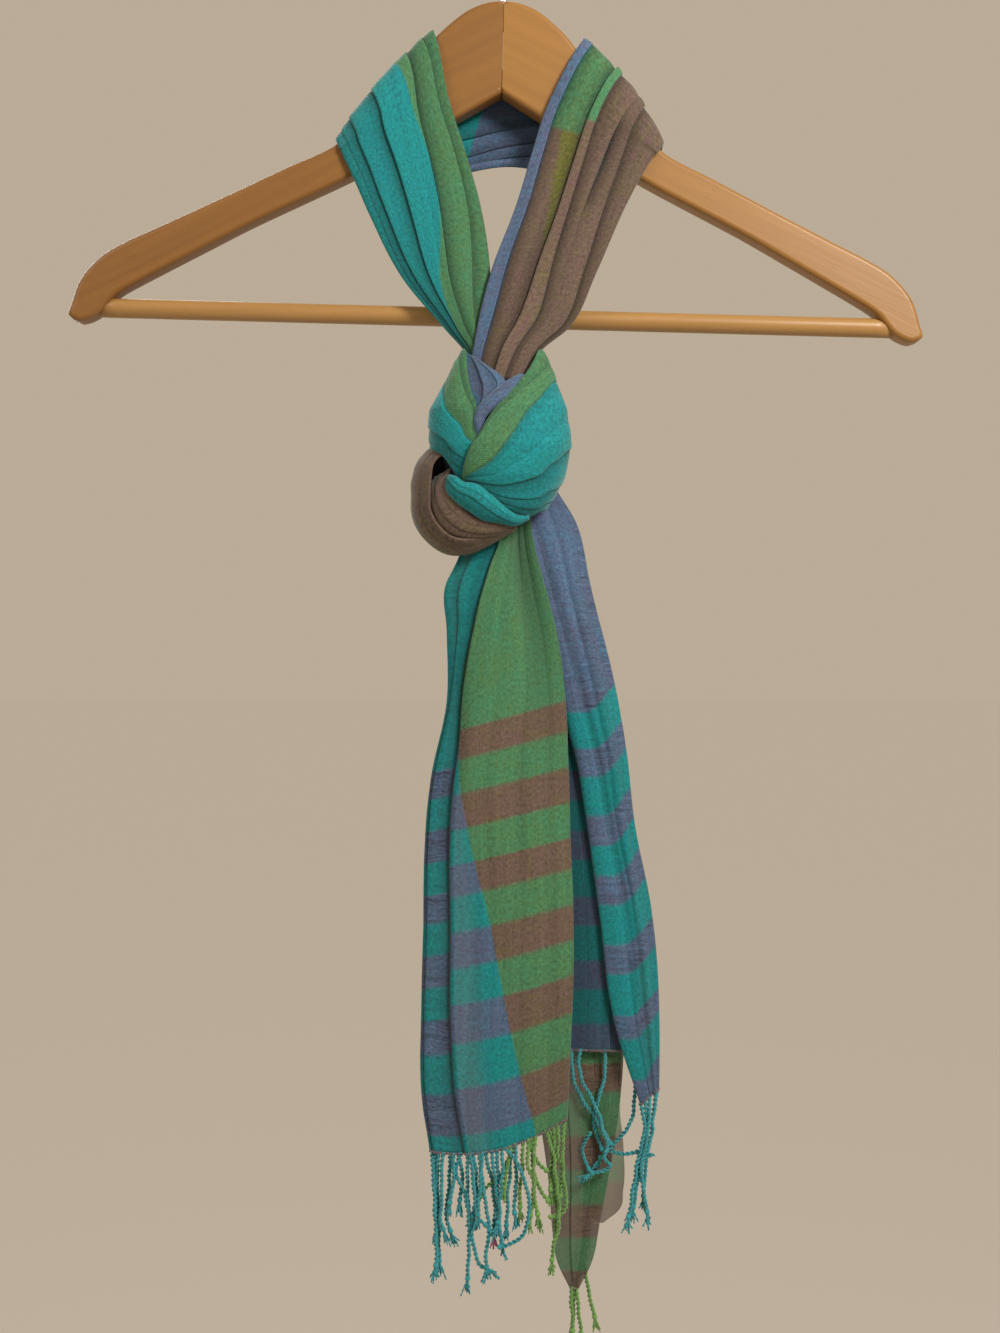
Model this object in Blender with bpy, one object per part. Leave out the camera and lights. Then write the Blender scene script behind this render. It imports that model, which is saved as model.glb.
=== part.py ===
"""A long shot-woven scarf with twisted fringes, doubled, hung over a wooden clothes hanger and tied in a
twist-through knot. Units are metres; the tables below are in millimetres. +Z is up and the front faces -Y.
The origin is the top of the inside of the hanger's hook, where it rests on a rail."""

import math
from collections import namedtuple

import bmesh
import bpy
import numpy as np

MM = 0.001

# The hanger, in its own frame before it is tilted
TILT = math.radians(1.5)       # it hangs this far off level, right end low
HEAD_TOP = -60.0               # top of the wooden head
WOOD_HALF = 6.5                # half the thickness of the arms
WOOD_EDGE = 2.2                # rounding of their edges
BUTT_GAP = 0.15                # half the gap where the two arms meet
BAR_DROP = 164.6               # axis of the trouser bar below the head top
BAR_RADIUS = 5.0
BAR_END = 209.0
BAR_HOLE_END = 209.6
FIT = 0.3                      # clearance round the bar and the hook's shank
WIRE_RADIUS = 1.4
HOOK_RADIUS = 20.9             # centre line of the hook
HOOK_TIP_DEG = 205.0
SHANK_DEPTH = 14.0             # of the shank in the head

# The cloth
WALL = 1.2                     # thickness of one stretch of gathered cloth
TAIL_WALL = 1.1
LAP = 0.022                    # share of the width in which a pleat steps up or down
SEAM = 0.3                     # gap between neighbouring pieces
DEGREE_MM = 0.55               # length that one degree round the knot stands for
KNOT_Y = -22.0                 # axis of the knot
CORE_INSET = 0.3               # the hidden layers lie this far inside the knot's envelope

# Outline of the right arm: distance out from the middle, drop below the head top
Corner = namedtuple("Corner", "out drop")
ARM = [Corner(*row) for row in (
    (0, 0), (8, 1), (16, 4), (23, 8.5), (33, 17.5), (38, 23.6), (52, 39), (66, 54), (84, 76), (112, 90.5),
    (143, 106), (174, 121.2), (193.6, 130.6), (204.7, 137.2), (213.9, 146.2), (218.3, 153.7), (221.4, 164),
    (223, 169.7), (216.7, 172.7), (207.3, 168.5), (199, 159), (188, 152), (150, 131), (126, 118), (76, 93),
    (48, 77), (21.5, 61), (0, 48),
)]

# A stretch of cloth is laid between two edges. Its rows run along the cloth, the way that keeps its face
# outward: a is the edge on the left of that way, b the one on the right. crown rounds the stretch outward,
# relief scales its pleats, steps is how many sections run to the next row.
Row = namedtuple("Row", "ax ay az bx by bz crown relief steps")

COLLAR_LEFT = [Row(*row) for row in (
    (-20, -18, -249, -8, -18, -249.5, 3, 0.3, 3),
    (-32, -16, -234, -10, -17, -231, 3.5, 0.5, 3),
    (-53, -13, -209, -8, -15, -208, 3.5, 0.8, 4),
    (-71, -11, -175, -13, -13, -171, 3, 1, 4),
    (-80, -9.8, -154, -21.5, -11, -140, 2.5, 1, 3),
    (-86.5, -9, -140, -31, -9.6, -108, 2, 1, 2),
    (-87.5, -8.6, -138, -35.5, -8.8, -84, 2, 0.8, 2),
    (-89.4, -5.6, -133.6, -37.8, -5.6, -76, 2.2, 0.6, 2),
    (-89.8, 0, -131.4, -38, 0, -73.2, 2.5, 0.6, 2),
    (-89.4, 5.6, -133.6, -37.8, 5.6, -76, 2.2, 0.6, 2),
    (-86, 8.6, -139, -33, 8.6, -83, 1.5, 0.8, 3),
    (-66, 9.2, -148, -21, 9.4, -87.5, 1, 0.8, 0),
)]
COLLAR_RIGHT = [Row(*row) for row in (
    (-17, -24, -249.5, 14, -24, -249, 4, 0.35, 3),
    (-15, -22, -230, 31, -18, -233, 4, 0.6, 3),
    (-7.3, -18.5, -201, 46.6, -14, -204, 4, 0.9, 4),
    (4, -15, -170, 61, -11.5, -170, 3.5, 1, 4),
    (13, -12, -140, 71.5, -9.6, -150.5, 3, 1, 3),
    (20, -10.5, -118, 77, -9, -142, 2.5, 1, 2),
    (33.5, -8.8, -90, 79, -8.6, -140.5, 2.5, 0.8, 2),
    (38.8, -5.6, -81, 81.8, -5.6, -136, 2.6, 0.7, 2),
    (40, 0, -77.5, 82.4, 0, -133.4, 3, 0.7, 2),
    (38.8, 5.6, -81, 81.8, 5.6, -136, 2.6, 0.7, 2),
    (35, 8.6, -87, 79, 8.6, -141, 1.5, 0.8, 3),
    (24, 9.4, -88, 58, 9.2, -149, 1, 0.8, 0),
)]
COLLAR_BACK = [Row(*row) for row in (
    (-65.3, 9.3, -148.4, -20.3, 9.5, -87.9, 1, 0.8, 3),
    (-35, 9.8, -147.5, -10, 9.8, -89.5, 1, 1, 3),
    (0, 10, -142, 0, 10, -90, 1, 1, 3),
    (35, 9.8, -147.5, 12, 9.8, -89.5, 1, 1, 3),
    (57.3, 9.3, -149.4, 23.3, 9.5, -88.4, 1, 0.8, 0),
)]
TAIL_FRONT = [Row(*row) for row in (
    (-40, -20, -657.6, 31, -20, -641, 2, 0.35, 3),
    (-44.5, -20.5, -627, 32, -21, -620, 2.5, 0.6, 3),
    (-44.5, -21, -577, 34, -22, -577, 3, 0.8, 3),
    (-42.8, -21, -503, 33, -22, -503, 3.5, 1, 3),
    (-36, -20.5, -441, 31.5, -22, -437, 4, 1, 3),
    (-31.5, -20, -400, 27.5, -21, -403, 4.5, 1, 3),
    (-31.5, -19, -366, 17, -20, -360, 4.5, 0.8, 2),
    (-23, -18.5, -353.6, 9.5, -19.5, -341.6, 3.6, 0.5, 0),
)]
TAIL_RIGHT = [Row(*row) for row in (
    (68.5, -13, -633, 78.5, -13, -625, 0.5, 0.4, 2),
    (56.5, -13.5, -597, 79, -13, -598, 1.5, 0.8, 3),
    (47, -14, -532, 74.5, -13, -530, 2, 1, 3),
    (38, -14, -470, 63.5, -13, -468, 2, 1, 3),
    (27, -13, -425, 56, -12, -421, 2.5, 1, 3),
    (13, -10.5, -364, 43, -9, -364, 2.2, 0.8, 3),
    (10.5, -8.5, -341, 36.5, -5.5, -333, 1.4, 0.6, 2),
    (14.5, -7, -321.5, 25.5, -13, -316, 0, 0.3, 0),
)]
TAIL_INNER = [Row(*row) for row in (
    (28, -9, -606, 68, -8.6, -607, 0.8, 0.8, 3),
    (28, -9.4, -530, 66, -9, -530, 1, 1, 3),
    (22, -9.4, -450, 54, -8.6, -450, 1, 1, 3),
    (12, -6.4, -385, 38, -5.4, -385, 0.8, 0.8, 2),
    (3.5, -7, -339, 20, -7, -339, 0, 0.2, 0),
)]
TAIL_BACK = [Row(*row) for row in (
    (33.5, -4, -731, 38, -4, -732.5, 0, 0, 2),
    (24, -4, -700, 49, -4, -698, 0.6, 0.4, 3),
    (14, -4.4, -650, 56, -4.4, -648, 1, 0.8, 3),
    (-6, -4, -560, 60, -4, -560, 1.2, 1, 3),
    (-26, -2.5, -450, 34, -2.5, -450, 1.2, 1, 3),
    (-24, -2, -380, 14, -1.5, -380, 1, 0.8, 2),
    (-16, -5, -338, 8, -5.2, -339, 0, 0.3, 0),
)]

# Pleats across a stretch: where each starts, as a share of the width, at the first, middle and last row, and
# how far it stands out at its left side, middle and right side
Pleat = namedtuple("Pleat", "first middle last left centre right")

LEFT_PLEATS = [Pleat(*row) for row in (
    (0, 0, 0, 0.2, 1.2, 1.8),
    (0.15, 0.13, 0.12, 0, 1.4, 2.2),
    (0.3, 0.28, 0.3, 0.2, 1.6, 0.4),
    (0.46, 0.45, 0.46, 1.8, 1.4, 0.2),
    (0.6, 0.62, 0.62, 2.2, 1.6, 0.2),
    (0.74, 0.76, 0.76, 2, 1.5, 0.2),
    (0.88, 0.9, 0.9, 1.8, 1, 0),
)]
RIGHT_PLEATS = [Pleat(*row) for row in (
    (0, 0, 0, 0, 1, 0.4),
    (0.16, 0.16, 0.14, 2, 1.7, 0.2),
    (0.32, 0.33, 0.32, 1.8, 1.5, 0.2),
    (0.46, 0.48, 0.48, 2.2, 1.8, 0),
    (0.6, 0.62, 0.62, 2, 1.6, 0.2),
    (0.74, 0.74, 0.74, 2.4, 1.5, 0),
    (0.87, 0.87, 0.88, 1.6, 0.9, 0),
)]
BACK_PLEATS = [Pleat(*row) for row in (
    (0, 0, 0, 0, 0.8, 1.2),
    (0.16, 0.2, 0.16, 0, 0.9, 1.4),
    (0.34, 0.38, 0.34, 0, 1, 1.4),
    (0.54, 0.56, 0.54, 0, 1, 1.2),
    (0.78, 0.78, 0.78, 0, 0.8, 0),
)]
FRONT_PLEATS = [Pleat(*row) for row in (
    (0, 0, 0, 0, 0.6, 0.3),
    (0.1, 0.09, 0.2, 1.6, 1.6, 1),
    (0.32, 0.24, 0.42, 4, 4.2, 3),
    (0.6, 0.56, 0.66, 2.2, 3.2, 2.4),
    (0.82, 0.8, 0.84, 3, 2, 0.6),
)]
TAIL_PLEATS = [Pleat(*row) for row in (
    (0, 0, 0, 0.4, 1, 0.6),
    (0.3, 0.32, 0.35, 1.4, 1.6, 0.6),
    (0.65, 0.66, 0.68, 1.2, 1, 0),
)]
WRAP_LEFT_PLEATS = [Pleat(*row) for row in (
    (0, 0, 0, 0.3, 0.9, 1.2),
    (0.2, 0.26, 0.22, 0, 0.9, 1.4),
    (0.42, 0.5, 0.44, 0, 1, 1.4),
    (0.64, 0.74, 0.66, 0, 0.8, 0.6),
)]
WRAP_RIGHT_PLEATS = [Pleat(*row) for row in (
    (0, 0, 0, 0.6, 1.2, 0.4),
    (0.2, 0.2, 0.2, 1, 1.3, 0.3),
    (0.4, 0.42, 0.42, 1.2, 1.2, 0.2),
    (0.62, 0.64, 0.62, 1.4, 1.3, 0.2),
    (0.8, 0.82, 0.8, 1.5, 1.2, 0.3),
)]
SOFT_PLEATS = [Pleat(*row) for row in (
    (0, 0, 0, 0, 0.7, 0.3),
    (0.34, 0.34, 0.34, 0.9, 0.9, 0.2),
    (0.68, 0.68, 0.68, 0.9, 0.6, 0),
)]

# The knot's envelope: height, middle, half width and half depth
Girth = namedtuple("Girth", "z middle half_width half_depth")
ENVELOPE = [Girth(*row) for row in (
    (-240, -3.4, 15, 6), (-244, -3.4, 17, 7.5), (-250, -3.6, 19.5, 10.5), (-259, -4.2, 23, 14.5),
    (-277, -5.5, 30, 20), (-297, -5, 32, 22), (-312, -3.5, 27.5, 20), (-328, -3.2, 19.5, 14.5),
    (-338, -4.5, 8, 6),
)]

# Stretches wrapped on the knot: angle from the front and height of each edge, and how far above the envelope
Wrap = namedtuple("Wrap", "angle_a lift_a z_a angle_b lift_b z_b crown relief steps")
WRAP_LEFT = [Wrap(*row) for row in (
    (-52, 2.4, -311, -43, 2.4, -312.5, 0, 0.2, 3),
    (-78, 2.4, -299, -27, 2.4, -302, 1, 0.8, 3),
    (-126, 0.9, -288, -17, 2.4, -288, 1, 1, 4),
    (-130, 0.9, -272, -19, 2.4, -273, 1, 1, 3),
    (-122, 0.9, -259, -34, 2.4, -261, 0.6, 0.8, 3),
    (-104, 1.4, -248.5, -54, 2.4, -249, 0, 0.4, 0),
)]
WRAP_RIGHT = [Wrap(*row) for row in (
    (-33, 5.6, -303, -40, 5.6, -309, 0, 0.1, 2),
    (-14, 5, -292, -26, 5.4, -316, 0.6, 0.6, 3),
    (4, 4.2, -277, 0, 4.6, -323, 1, 1, 3),
    (26, 3.9, -264, 32, 4.2, -326, 1, 1, 3),
    (56, 3.9, -250, 80, 3.9, -326, 1, 1, 3),
    (100, 2.6, -249, 110, 2.6, -325, 0.6, 0.8, 3),
    (138, 0.9, -252, 138, 0.9, -320, 0, 0.4, 0),
)]
WRAP_BACK = [Wrap(*row) for row in (
    (140, 0.9, -320, 222, 0.9, -316, 0, 0.4, 3),
    (140, 0.9, -302, 223, 0.9, -300, 0.6, 1, 4),
    (140, 0.9, -280, 223, 0.9, -278, 0.6, 1, 4),
    (140, 0.9, -254, 226, 0.9, -253, 0, 0.6, 0),
)]
TUCK = [Wrap(*row) for row in (
    (-22, 0.9, -294, -9, 0.9, -291, 0, 0.2, 2),
    (-26, 0.9, -276, 10, 0.9, -276, 0, 1, 3),
    (-42, 0.9, -262, 30, 0.9, -262, 0, 1, 3),
    (-54, 0.9, -250, 50, 0.9, -250, 0, 0.5, 0),
)]

# The teal roll under the knot, and the bight at its lower left: a rim that goes round it, and the face inside
ROLL = [Row(*row) for row in (
    (-25.5, -39.5, -311.5, -30, -37, -315, 1.2, 0.3, 3),
    (-21.5, -42.5, -318.5, -27.5, -40, -324, 3, 0.6, 3),
    (-9, -43, -324.5, -13, -41, -332, 3.4, 0.8, 3),
    (2, -41, -330, 0, -38.5, -335.8, 2.6, 0.6, 2),
    (13, -35, -331.5, 10.5, -33, -334.5, 1, 0.3, 0),
)]
BIGHT_RIM = [Row(*row) for row in (
    (-34.5, -36.5, -304.5, -36.8, -19, -304.5, 3, 0.3, 2),
    (-37.3, -38, -312, -37, -12, -313, 9, 0.8, 3),
    (-37.8, -38, -323, -35, -10, -323, 11, 1, 3),
    (-35, -37.5, -335, -31, -10, -334, 9, 1, 3),
    (-28, -37, -342, -25, -11, -340, 8, 1, 3),
    (-18, -36.5, -344, -17, -13, -342, 6, 0.8, 3),
    (-7, -35, -341.5, -8, -16, -340.5, 4, 0.5, 2),
    (3, -32, -338.5, 0, -20, -338.5, 1.5, 0.2, 0),
)]
BIGHT_FACE = [Row(*row) for row in (
    (-31, -36.4, -316.5, -36.6, -35, -317.5, 0.2, 0.2, 2),
    (-26.5, -38.3, -323.4, -35.6, -35.6, -329, 0.8, 0.6, 3),
    (-20, -39, -328.4, -28.5, -35.4, -339, 1.2, 0.8, 3),
    (-11, -39, -332.2, -17, -34.6, -341.4, 1, 0.6, 3),
    (2, -35.6, -335.2, 1, -31.4, -338.2, 0, 0.2, 0),
)]

# Fringes: the share of a hem that each covers, its cords, and their shortest and longest length
Fringe = namedtuple("Fringe", "start end cords shortest longest swing")
FRINGE_FRONT = Fringe(0.0, 1.0, 25, 38, 72, 2.2)
FRINGE_MIDDLE = Fringe(0.05, 0.72, 5, 40, 62, 1.5)
FRINGE_RIGHT = Fringe(0.0, 1.0, 6, 42, 66, 1.2)
FRINGE_CORNER = Fringe(0.0, 1.0, 3, 20, 30, 1.2)
CORD_HALF = 0.6                # half the thickness of a cord
CORD_STEPS = 5
BACKING = 1.6                  # depth of the strip that the cords grow from

COLOURS = {
    "teal": (0.02, 0.42, 0.44, 1), "green": (0.16, 0.42, 0.12, 1), "violet": (0.14, 0.18, 0.42, 1),
    "brown": (0.22, 0.13, 0.11, 1), "wood": (0.50, 0.24, 0.09, 1), "pine": (0.60, 0.36, 0.15, 1),
    "chrome": (0.75, 0.76, 0.78, 1),
}


def material(name, colour, metallic=0.0, roughness=0.7):
    made = bpy.data.materials.new(name)
    made.use_nodes = True
    made.diffuse_color = COLOURS[colour]
    shader = made.node_tree.nodes["Principled BSDF"]
    shader.inputs["Base Color"].default_value = COLOURS[colour]
    shader.inputs["Metallic"].default_value = metallic
    shader.inputs["Roughness"].default_value = roughness
    return made


def face_outward(mesh):
    shape = bmesh.new()
    shape.from_mesh(mesh)
    bmesh.ops.recalc_face_normals(shape, faces=shape.faces)
    shape.to_mesh(mesh)
    shape.free()


def add_object(name, points, faces, colour, **finish):
    """One named object from points in millimetres."""
    mesh = bpy.data.meshes.new(name)
    mesh.from_pydata([tuple(p) for p in np.asarray(points, float) * MM], [], faces)
    face_outward(mesh)
    mesh.materials.append(material(name, colour, **finish))
    made = bpy.data.objects.new(name, mesh)
    bpy.context.scene.collection.objects.link(made)
    return made


def tilted(points):
    """Points of the level hanger, turned about the hook."""
    x, y, z = np.asarray(points, float).T
    return np.stack([x * math.cos(TILT) + z * math.sin(TILT), y, z * math.cos(TILT) - x * math.sin(TILT)], 1)


def blended(rows):
    """The rows of a table and the sections between them, on a smooth curve through each row."""
    table = np.array(rows, float)
    middle = 0.5 * (table[:, 0:3] + table[:, 3:6])
    at = np.concatenate([[0], np.cumsum(np.linalg.norm(np.diff(middle, axis=0), axis=1))])
    slope = np.gradient(table, at, axis=0)
    sections = []
    for i, steps in enumerate(table[:-1, -1].astype(int)):
        span = at[i + 1] - at[i]
        for t in np.arange(steps) / steps:
            sections.append(
                table[i] * (1 + 2 * t) * (1 - t) ** 2 + table[i + 1] * t * t * (3 - 2 * t)
                + span * (slope[i] * t * (1 - t) ** 2 - slope[i + 1] * t * t * (1 - t))
            )
    sections.append(table[-1])
    return np.array(sections)


def pleated(pleats, v):
    """Shares of the width and heights of the points across a section, at v from the first row to the last."""
    table = np.array(pleats, float)
    weights = np.array([(1 - v) * (1 - 2 * v), 4 * v * (1 - v), v * (2 * v - 1)])
    edges = np.append(table[:, :3] @ weights, 1.0)
    across, out = [], []
    for k, (_, _, _, left, centre, right) in enumerate(table):
        start = edges[k] + (LAP / 2 if k else 0)
        end = edges[k + 1] - (LAP / 2 if k < len(table) - 1 else 0)
        for t in (0.0, 0.5, 1.0):
            across.append(start + (end - start) * t)
            out.append(left * (1 - t) * (1 - 2 * t) + centre * 4 * t * (1 - t) + right * t * (2 * t - 1))
    return np.array(across), np.array(out)


def laid(rows, pleats):
    """Grid of points, sections by columns, on the middle of the wall of a stretch of cloth."""
    table = blended(rows)
    a, b, crown, relief = table[:, 0:3], table[:, 3:6], table[:, 6], table[:, 7]
    outward = np.cross(b - a, np.gradient(0.5 * (a + b), axis=0))
    outward /= np.linalg.norm(outward, axis=1)[:, None]
    grid = []
    for i in range(len(table)):
        across, out = pleated(pleats, i / (len(table) - 1))
        height = crown[i] * np.sin(np.pi * across) + relief[i] * out
        grid.append(a[i] + np.outer(across, b[i] - a[i]) + np.outer(height, outward[i]))
    return np.array(grid)


def walled(name, grid, wall, colour):
    """A closed wall of even thickness on a grid of points."""
    count, columns = grid.shape[:2]
    normal = np.cross(np.gradient(grid, axis=1), np.gradient(grid, axis=0))
    normal /= np.linalg.norm(normal, axis=2)[..., None]
    points = np.concatenate([(grid + normal * wall / 2).reshape(-1, 3), (grid - normal * wall / 2).reshape(-1, 3)])
    under = count * columns
    faces = []
    for i in range(count - 1):
        for j in range(columns - 1):
            p = i * columns + j
            faces.append((p, p + 1, p + columns + 1, p + columns))
            faces.append((under + p, under + p + columns, under + p + columns + 1, under + p + 1))
    rim = [j for j in range(columns)]
    rim += [i * columns + columns - 1 for i in range(1, count)]
    rim += [(count - 1) * columns + j for j in range(columns - 2, -1, -1)]
    rim += [i * columns for i in range(count - 2, 0, -1)]
    for p, q in zip(rim, rim[1:] + rim[:1]):
        faces.append((q, p, under + p, under + q))
    return add_object(name, points, faces, colour, roughness=0.85)


def girth(z):
    """Middle, half width and half depth of the knot's envelope at a height."""
    table = np.array(ENVELOPE[::-1], float)
    return [np.interp(z, table[:, 0], table[:, column]) for column in (1, 2, 3)]


def on_knot(degrees, z, lift):
    middle, half_width, half_depth = girth(z)
    angle = np.radians(degrees)
    return np.stack([
        middle + (half_width + lift) * np.sin(angle), KNOT_Y - (half_depth + lift) * np.cos(angle), z,
    ], -1)


def wrapped(rows, pleats):
    """Like laid, for a stretch given by angle, lift and height on the knot."""
    flat = [
        Row(r.angle_a * DEGREE_MM, -r.lift_a, r.z_a, r.angle_b * DEGREE_MM, -r.lift_b, r.z_b,
            r.crown, r.relief, r.steps)
        for r in rows
    ]
    grid = laid(flat, pleats)
    return on_knot(grid[..., 0] / DEGREE_MM, grid[..., 2], -grid[..., 1])


def add_core():
    """The layers inside the knot, as one rounded solid."""
    sides, rings = 20, np.linspace(-334, -250, 11)
    points = []
    for k, z in enumerate(rings):
        middle, half_width, half_depth = girth(z)
        inset = CORE_INSET + (1.5 if k in (0, len(rings) - 1) else 0)
        for angle in np.arange(sides) * 2 * np.pi / sides:
            points.append((
                middle + (half_width - inset) * math.sin(angle),
                KNOT_Y - (half_depth - inset) * math.cos(angle), z,
            ))
    faces = [tuple(range(sides))[::-1], tuple(range((len(rings) - 1) * sides, len(rings) * sides))]
    for k in range(len(rings) - 1):
        for j in range(sides):
            p, q = k * sides + j, k * sides + (j + 1) % sides
            faces.append((p, q, q + sides, p + sides))
    add_object("knot_core", points, faces, "violet", roughness=0.85)


def add_arm(name, side, colour):
    """One arm of the hanger, a slab with rounded edges."""
    outline = np.array([(side * max(c.out, BUTT_GAP), HEAD_TOP - c.drop) for c in ARM])
    turn = np.roll(outline, -1, 0) - np.roll(outline, 1, 0)
    turn /= np.linalg.norm(turn, axis=1)[:, None]
    inward = side * np.stack([turn[:, 1], -turn[:, 0]], 1)
    inward[[0, -1]] = [(0, -1), (0, 1)]
    points, layers = [], (
        (-WOOD_HALF, WOOD_EDGE), (-WOOD_HALF + 0.3 * WOOD_EDGE, 0.3 * WOOD_EDGE), (-WOOD_HALF + WOOD_EDGE, 0),
        (WOOD_HALF - WOOD_EDGE, 0), (WOOD_HALF - 0.3 * WOOD_EDGE, 0.3 * WOOD_EDGE), (WOOD_HALF, WOOD_EDGE),
    )
    for y, inset in layers:
        points += [(x, y, z) for x, z in outline + inward * inset]
    count = len(outline)
    faces = [tuple(range(count)), tuple(range(5 * count, 6 * count))[::-1]]
    for k in range(5):
        for j in range(count):
            p, q = k * count + j, k * count + (j + 1) % count
            faces.append((q, p, p + count, q + count))
    return add_object(name, tilted(points), faces, colour, roughness=0.4)


def swept(path, radius, sides, start_shrink=1.0):
    """Points and faces of a rod on a path in the XZ plane, its far end rounded."""
    path = np.array(path, float)
    along = np.gradient(path, axis=0)
    along /= np.linalg.norm(along, axis=1)[:, None]
    side = np.stack([along[:, 2], np.zeros(len(path)), -along[:, 0]], 1)
    points = []
    for k, (at, across) in enumerate(zip(path, side)):
        size = radius * (start_shrink if k == len(path) - 1 else 1.0)
        for angle in np.arange(sides) * 2 * np.pi / sides:
            points.append(at + size * (across * math.cos(angle) + np.array((0, math.sin(angle), 0))))
    faces = [tuple(range(sides)), tuple(range((len(path) - 1) * sides, len(path) * sides))[::-1]]
    for k in range(len(path) - 1):
        for j in range(sides):
            p, q = k * sides + j, k * sides + (j + 1) % sides
            faces.append((q, p, p + sides, q + sides))
    return points, faces


def add_hook():
    middle = WIRE_RADIUS - HOOK_RADIUS
    path = [(0, 0, HEAD_TOP - SHANK_DEPTH), (0, 0, HEAD_TOP), (0, 0, -50), (0.9, 0, -45.8), (4, 0, -41.6)]
    for degrees in np.linspace(-62, HOOK_TIP_DEG, 26):
        angle = math.radians(degrees)
        path.append((HOOK_RADIUS * math.cos(angle), 0, middle + HOOK_RADIUS * math.sin(angle)))
    points, faces = swept(path, WIRE_RADIUS, 8, start_shrink=0.6)
    add_object("hanger_hook", tilted(points), faces, "chrome", metallic=1.0, roughness=0.25)


def add_bar():
    z = HEAD_TOP - BAR_DROP
    points, faces = swept([(-BAR_END, 0, z), (0, 0, z), (BAR_END, 0, z)], BAR_RADIUS, 16)
    add_object("hanger_bar", tilted(points), faces, "pine", roughness=0.45)


def cut(target, name, path, radius):
    """Takes a round hole out of an object."""
    points, faces = swept(path, radius, 16)
    cutter = add_object(target.name + "_" + name, tilted(points), faces, "wood")
    cutter.hide_render = True
    cutter.display_type = "WIRE"
    hole = target.modifiers.new(cutter.name, "BOOLEAN")
    hole.operation = "DIFFERENCE"
    hole.solver = "EXACT"
    hole.object = cutter


def add_hanger():
    z = HEAD_TOP - BAR_DROP
    for name, side, colour in (("hanger_arm_left", -1, "wood"), ("hanger_arm_right", 1, "pine")):
        arm = add_arm(name, side, colour)
        cut(arm, "bar_hole", [(side * 150, 0, z), (side * BAR_HOLE_END, 0, z)], BAR_RADIUS + FIT)
        cut(arm, "shank_hole", [(0, 0, HEAD_TOP - SHANK_DEPTH - FIT), (0, 0, HEAD_TOP + 5)], WIRE_RADIUS + FIT)
    add_bar()
    add_hook()


def add_fringe(name, hem, fringe, colour, seed):
    """Cords that grow from a narrow strip under a hem, in one closed body."""
    cells = 2 * fringe.cords + 1
    lengths = np.concatenate([[0], np.cumsum(np.linalg.norm(np.diff(hem, axis=0), axis=1))])
    at = np.linspace(fringe.start, fringe.end, cells + 1) * lengths[-1]
    line = np.stack([np.interp(at, lengths, hem[:, k]) for k in range(3)], 1)
    deep = np.array((0, CORD_HALF, 0))
    drop = np.array((0, 0, -1.0))
    mesh = bmesh.new()

    def ring(points):
        return [mesh.verts.new(p * MM) for p in points]

    top = [ring((p - deep + drop * SEAM, p + deep + drop * SEAM)) for p in line]
    low = [ring((p - deep + drop * (SEAM + BACKING), p + deep + drop * (SEAM + BACKING))) for p in line]
    for k in range(cells):
        mesh.faces.new((top[k][0], low[k][0], low[k + 1][0], top[k + 1][0]))
        mesh.faces.new((top[k][1], top[k + 1][1], low[k + 1][1], low[k][1]))
        mesh.faces.new((top[k][0], top[k + 1][0], top[k + 1][1], top[k][1]))
    for end, (upper, lower) in ((0, (top[0], low[0])), (1, (top[-1], low[-1]))):
        quad = (upper[0], upper[1], lower[1], lower[0])
        mesh.faces.new(quad if end == 0 else quad[::-1])
    random = np.random.default_rng(seed)
    for k in range(cells):
        corners = [low[k][0], low[k + 1][0], low[k + 1][1], low[k][1]]
        if k % 2 == 0:
            mesh.faces.new(corners[::-1])
            continue
        length = random.uniform(fringe.shortest, fringe.longest)
        root = 0.5 * (line[k] + line[k + 1]) + drop * (SEAM + BACKING)
        for step in range(1, CORD_STEPS + 1):
            t = step / CORD_STEPS
            sway = fringe.swing * t * (math.sin(0.9 * k / 2 + 2.2 * t) + 0.4 * math.sin(2.3 * k + 4 * t))
            middle = root + drop * length * t + np.array((sway * 0.35, 0.5 * sway, 0))
            half = CORD_HALF * (0.8 if step == CORD_STEPS else 1)
            square = ((-half, -half), (half, -half), (half, half), (-half, half))
            lower = ring([middle + np.array((dx, dy, 0)) for dx, dy in square])
            for i in range(4):
                mesh.faces.new((corners[i], lower[i], lower[(i + 1) % 4], corners[(i + 1) % 4]))
            corners = lower
        mesh.faces.new(corners[::-1])
    data = bpy.data.meshes.new(name)
    mesh.to_mesh(data)
    mesh.free()
    face_outward(data)
    data.materials.append(material(name, colour, roughness=0.85))
    bpy.context.scene.collection.objects.link(bpy.data.objects.new(name, data))


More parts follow.
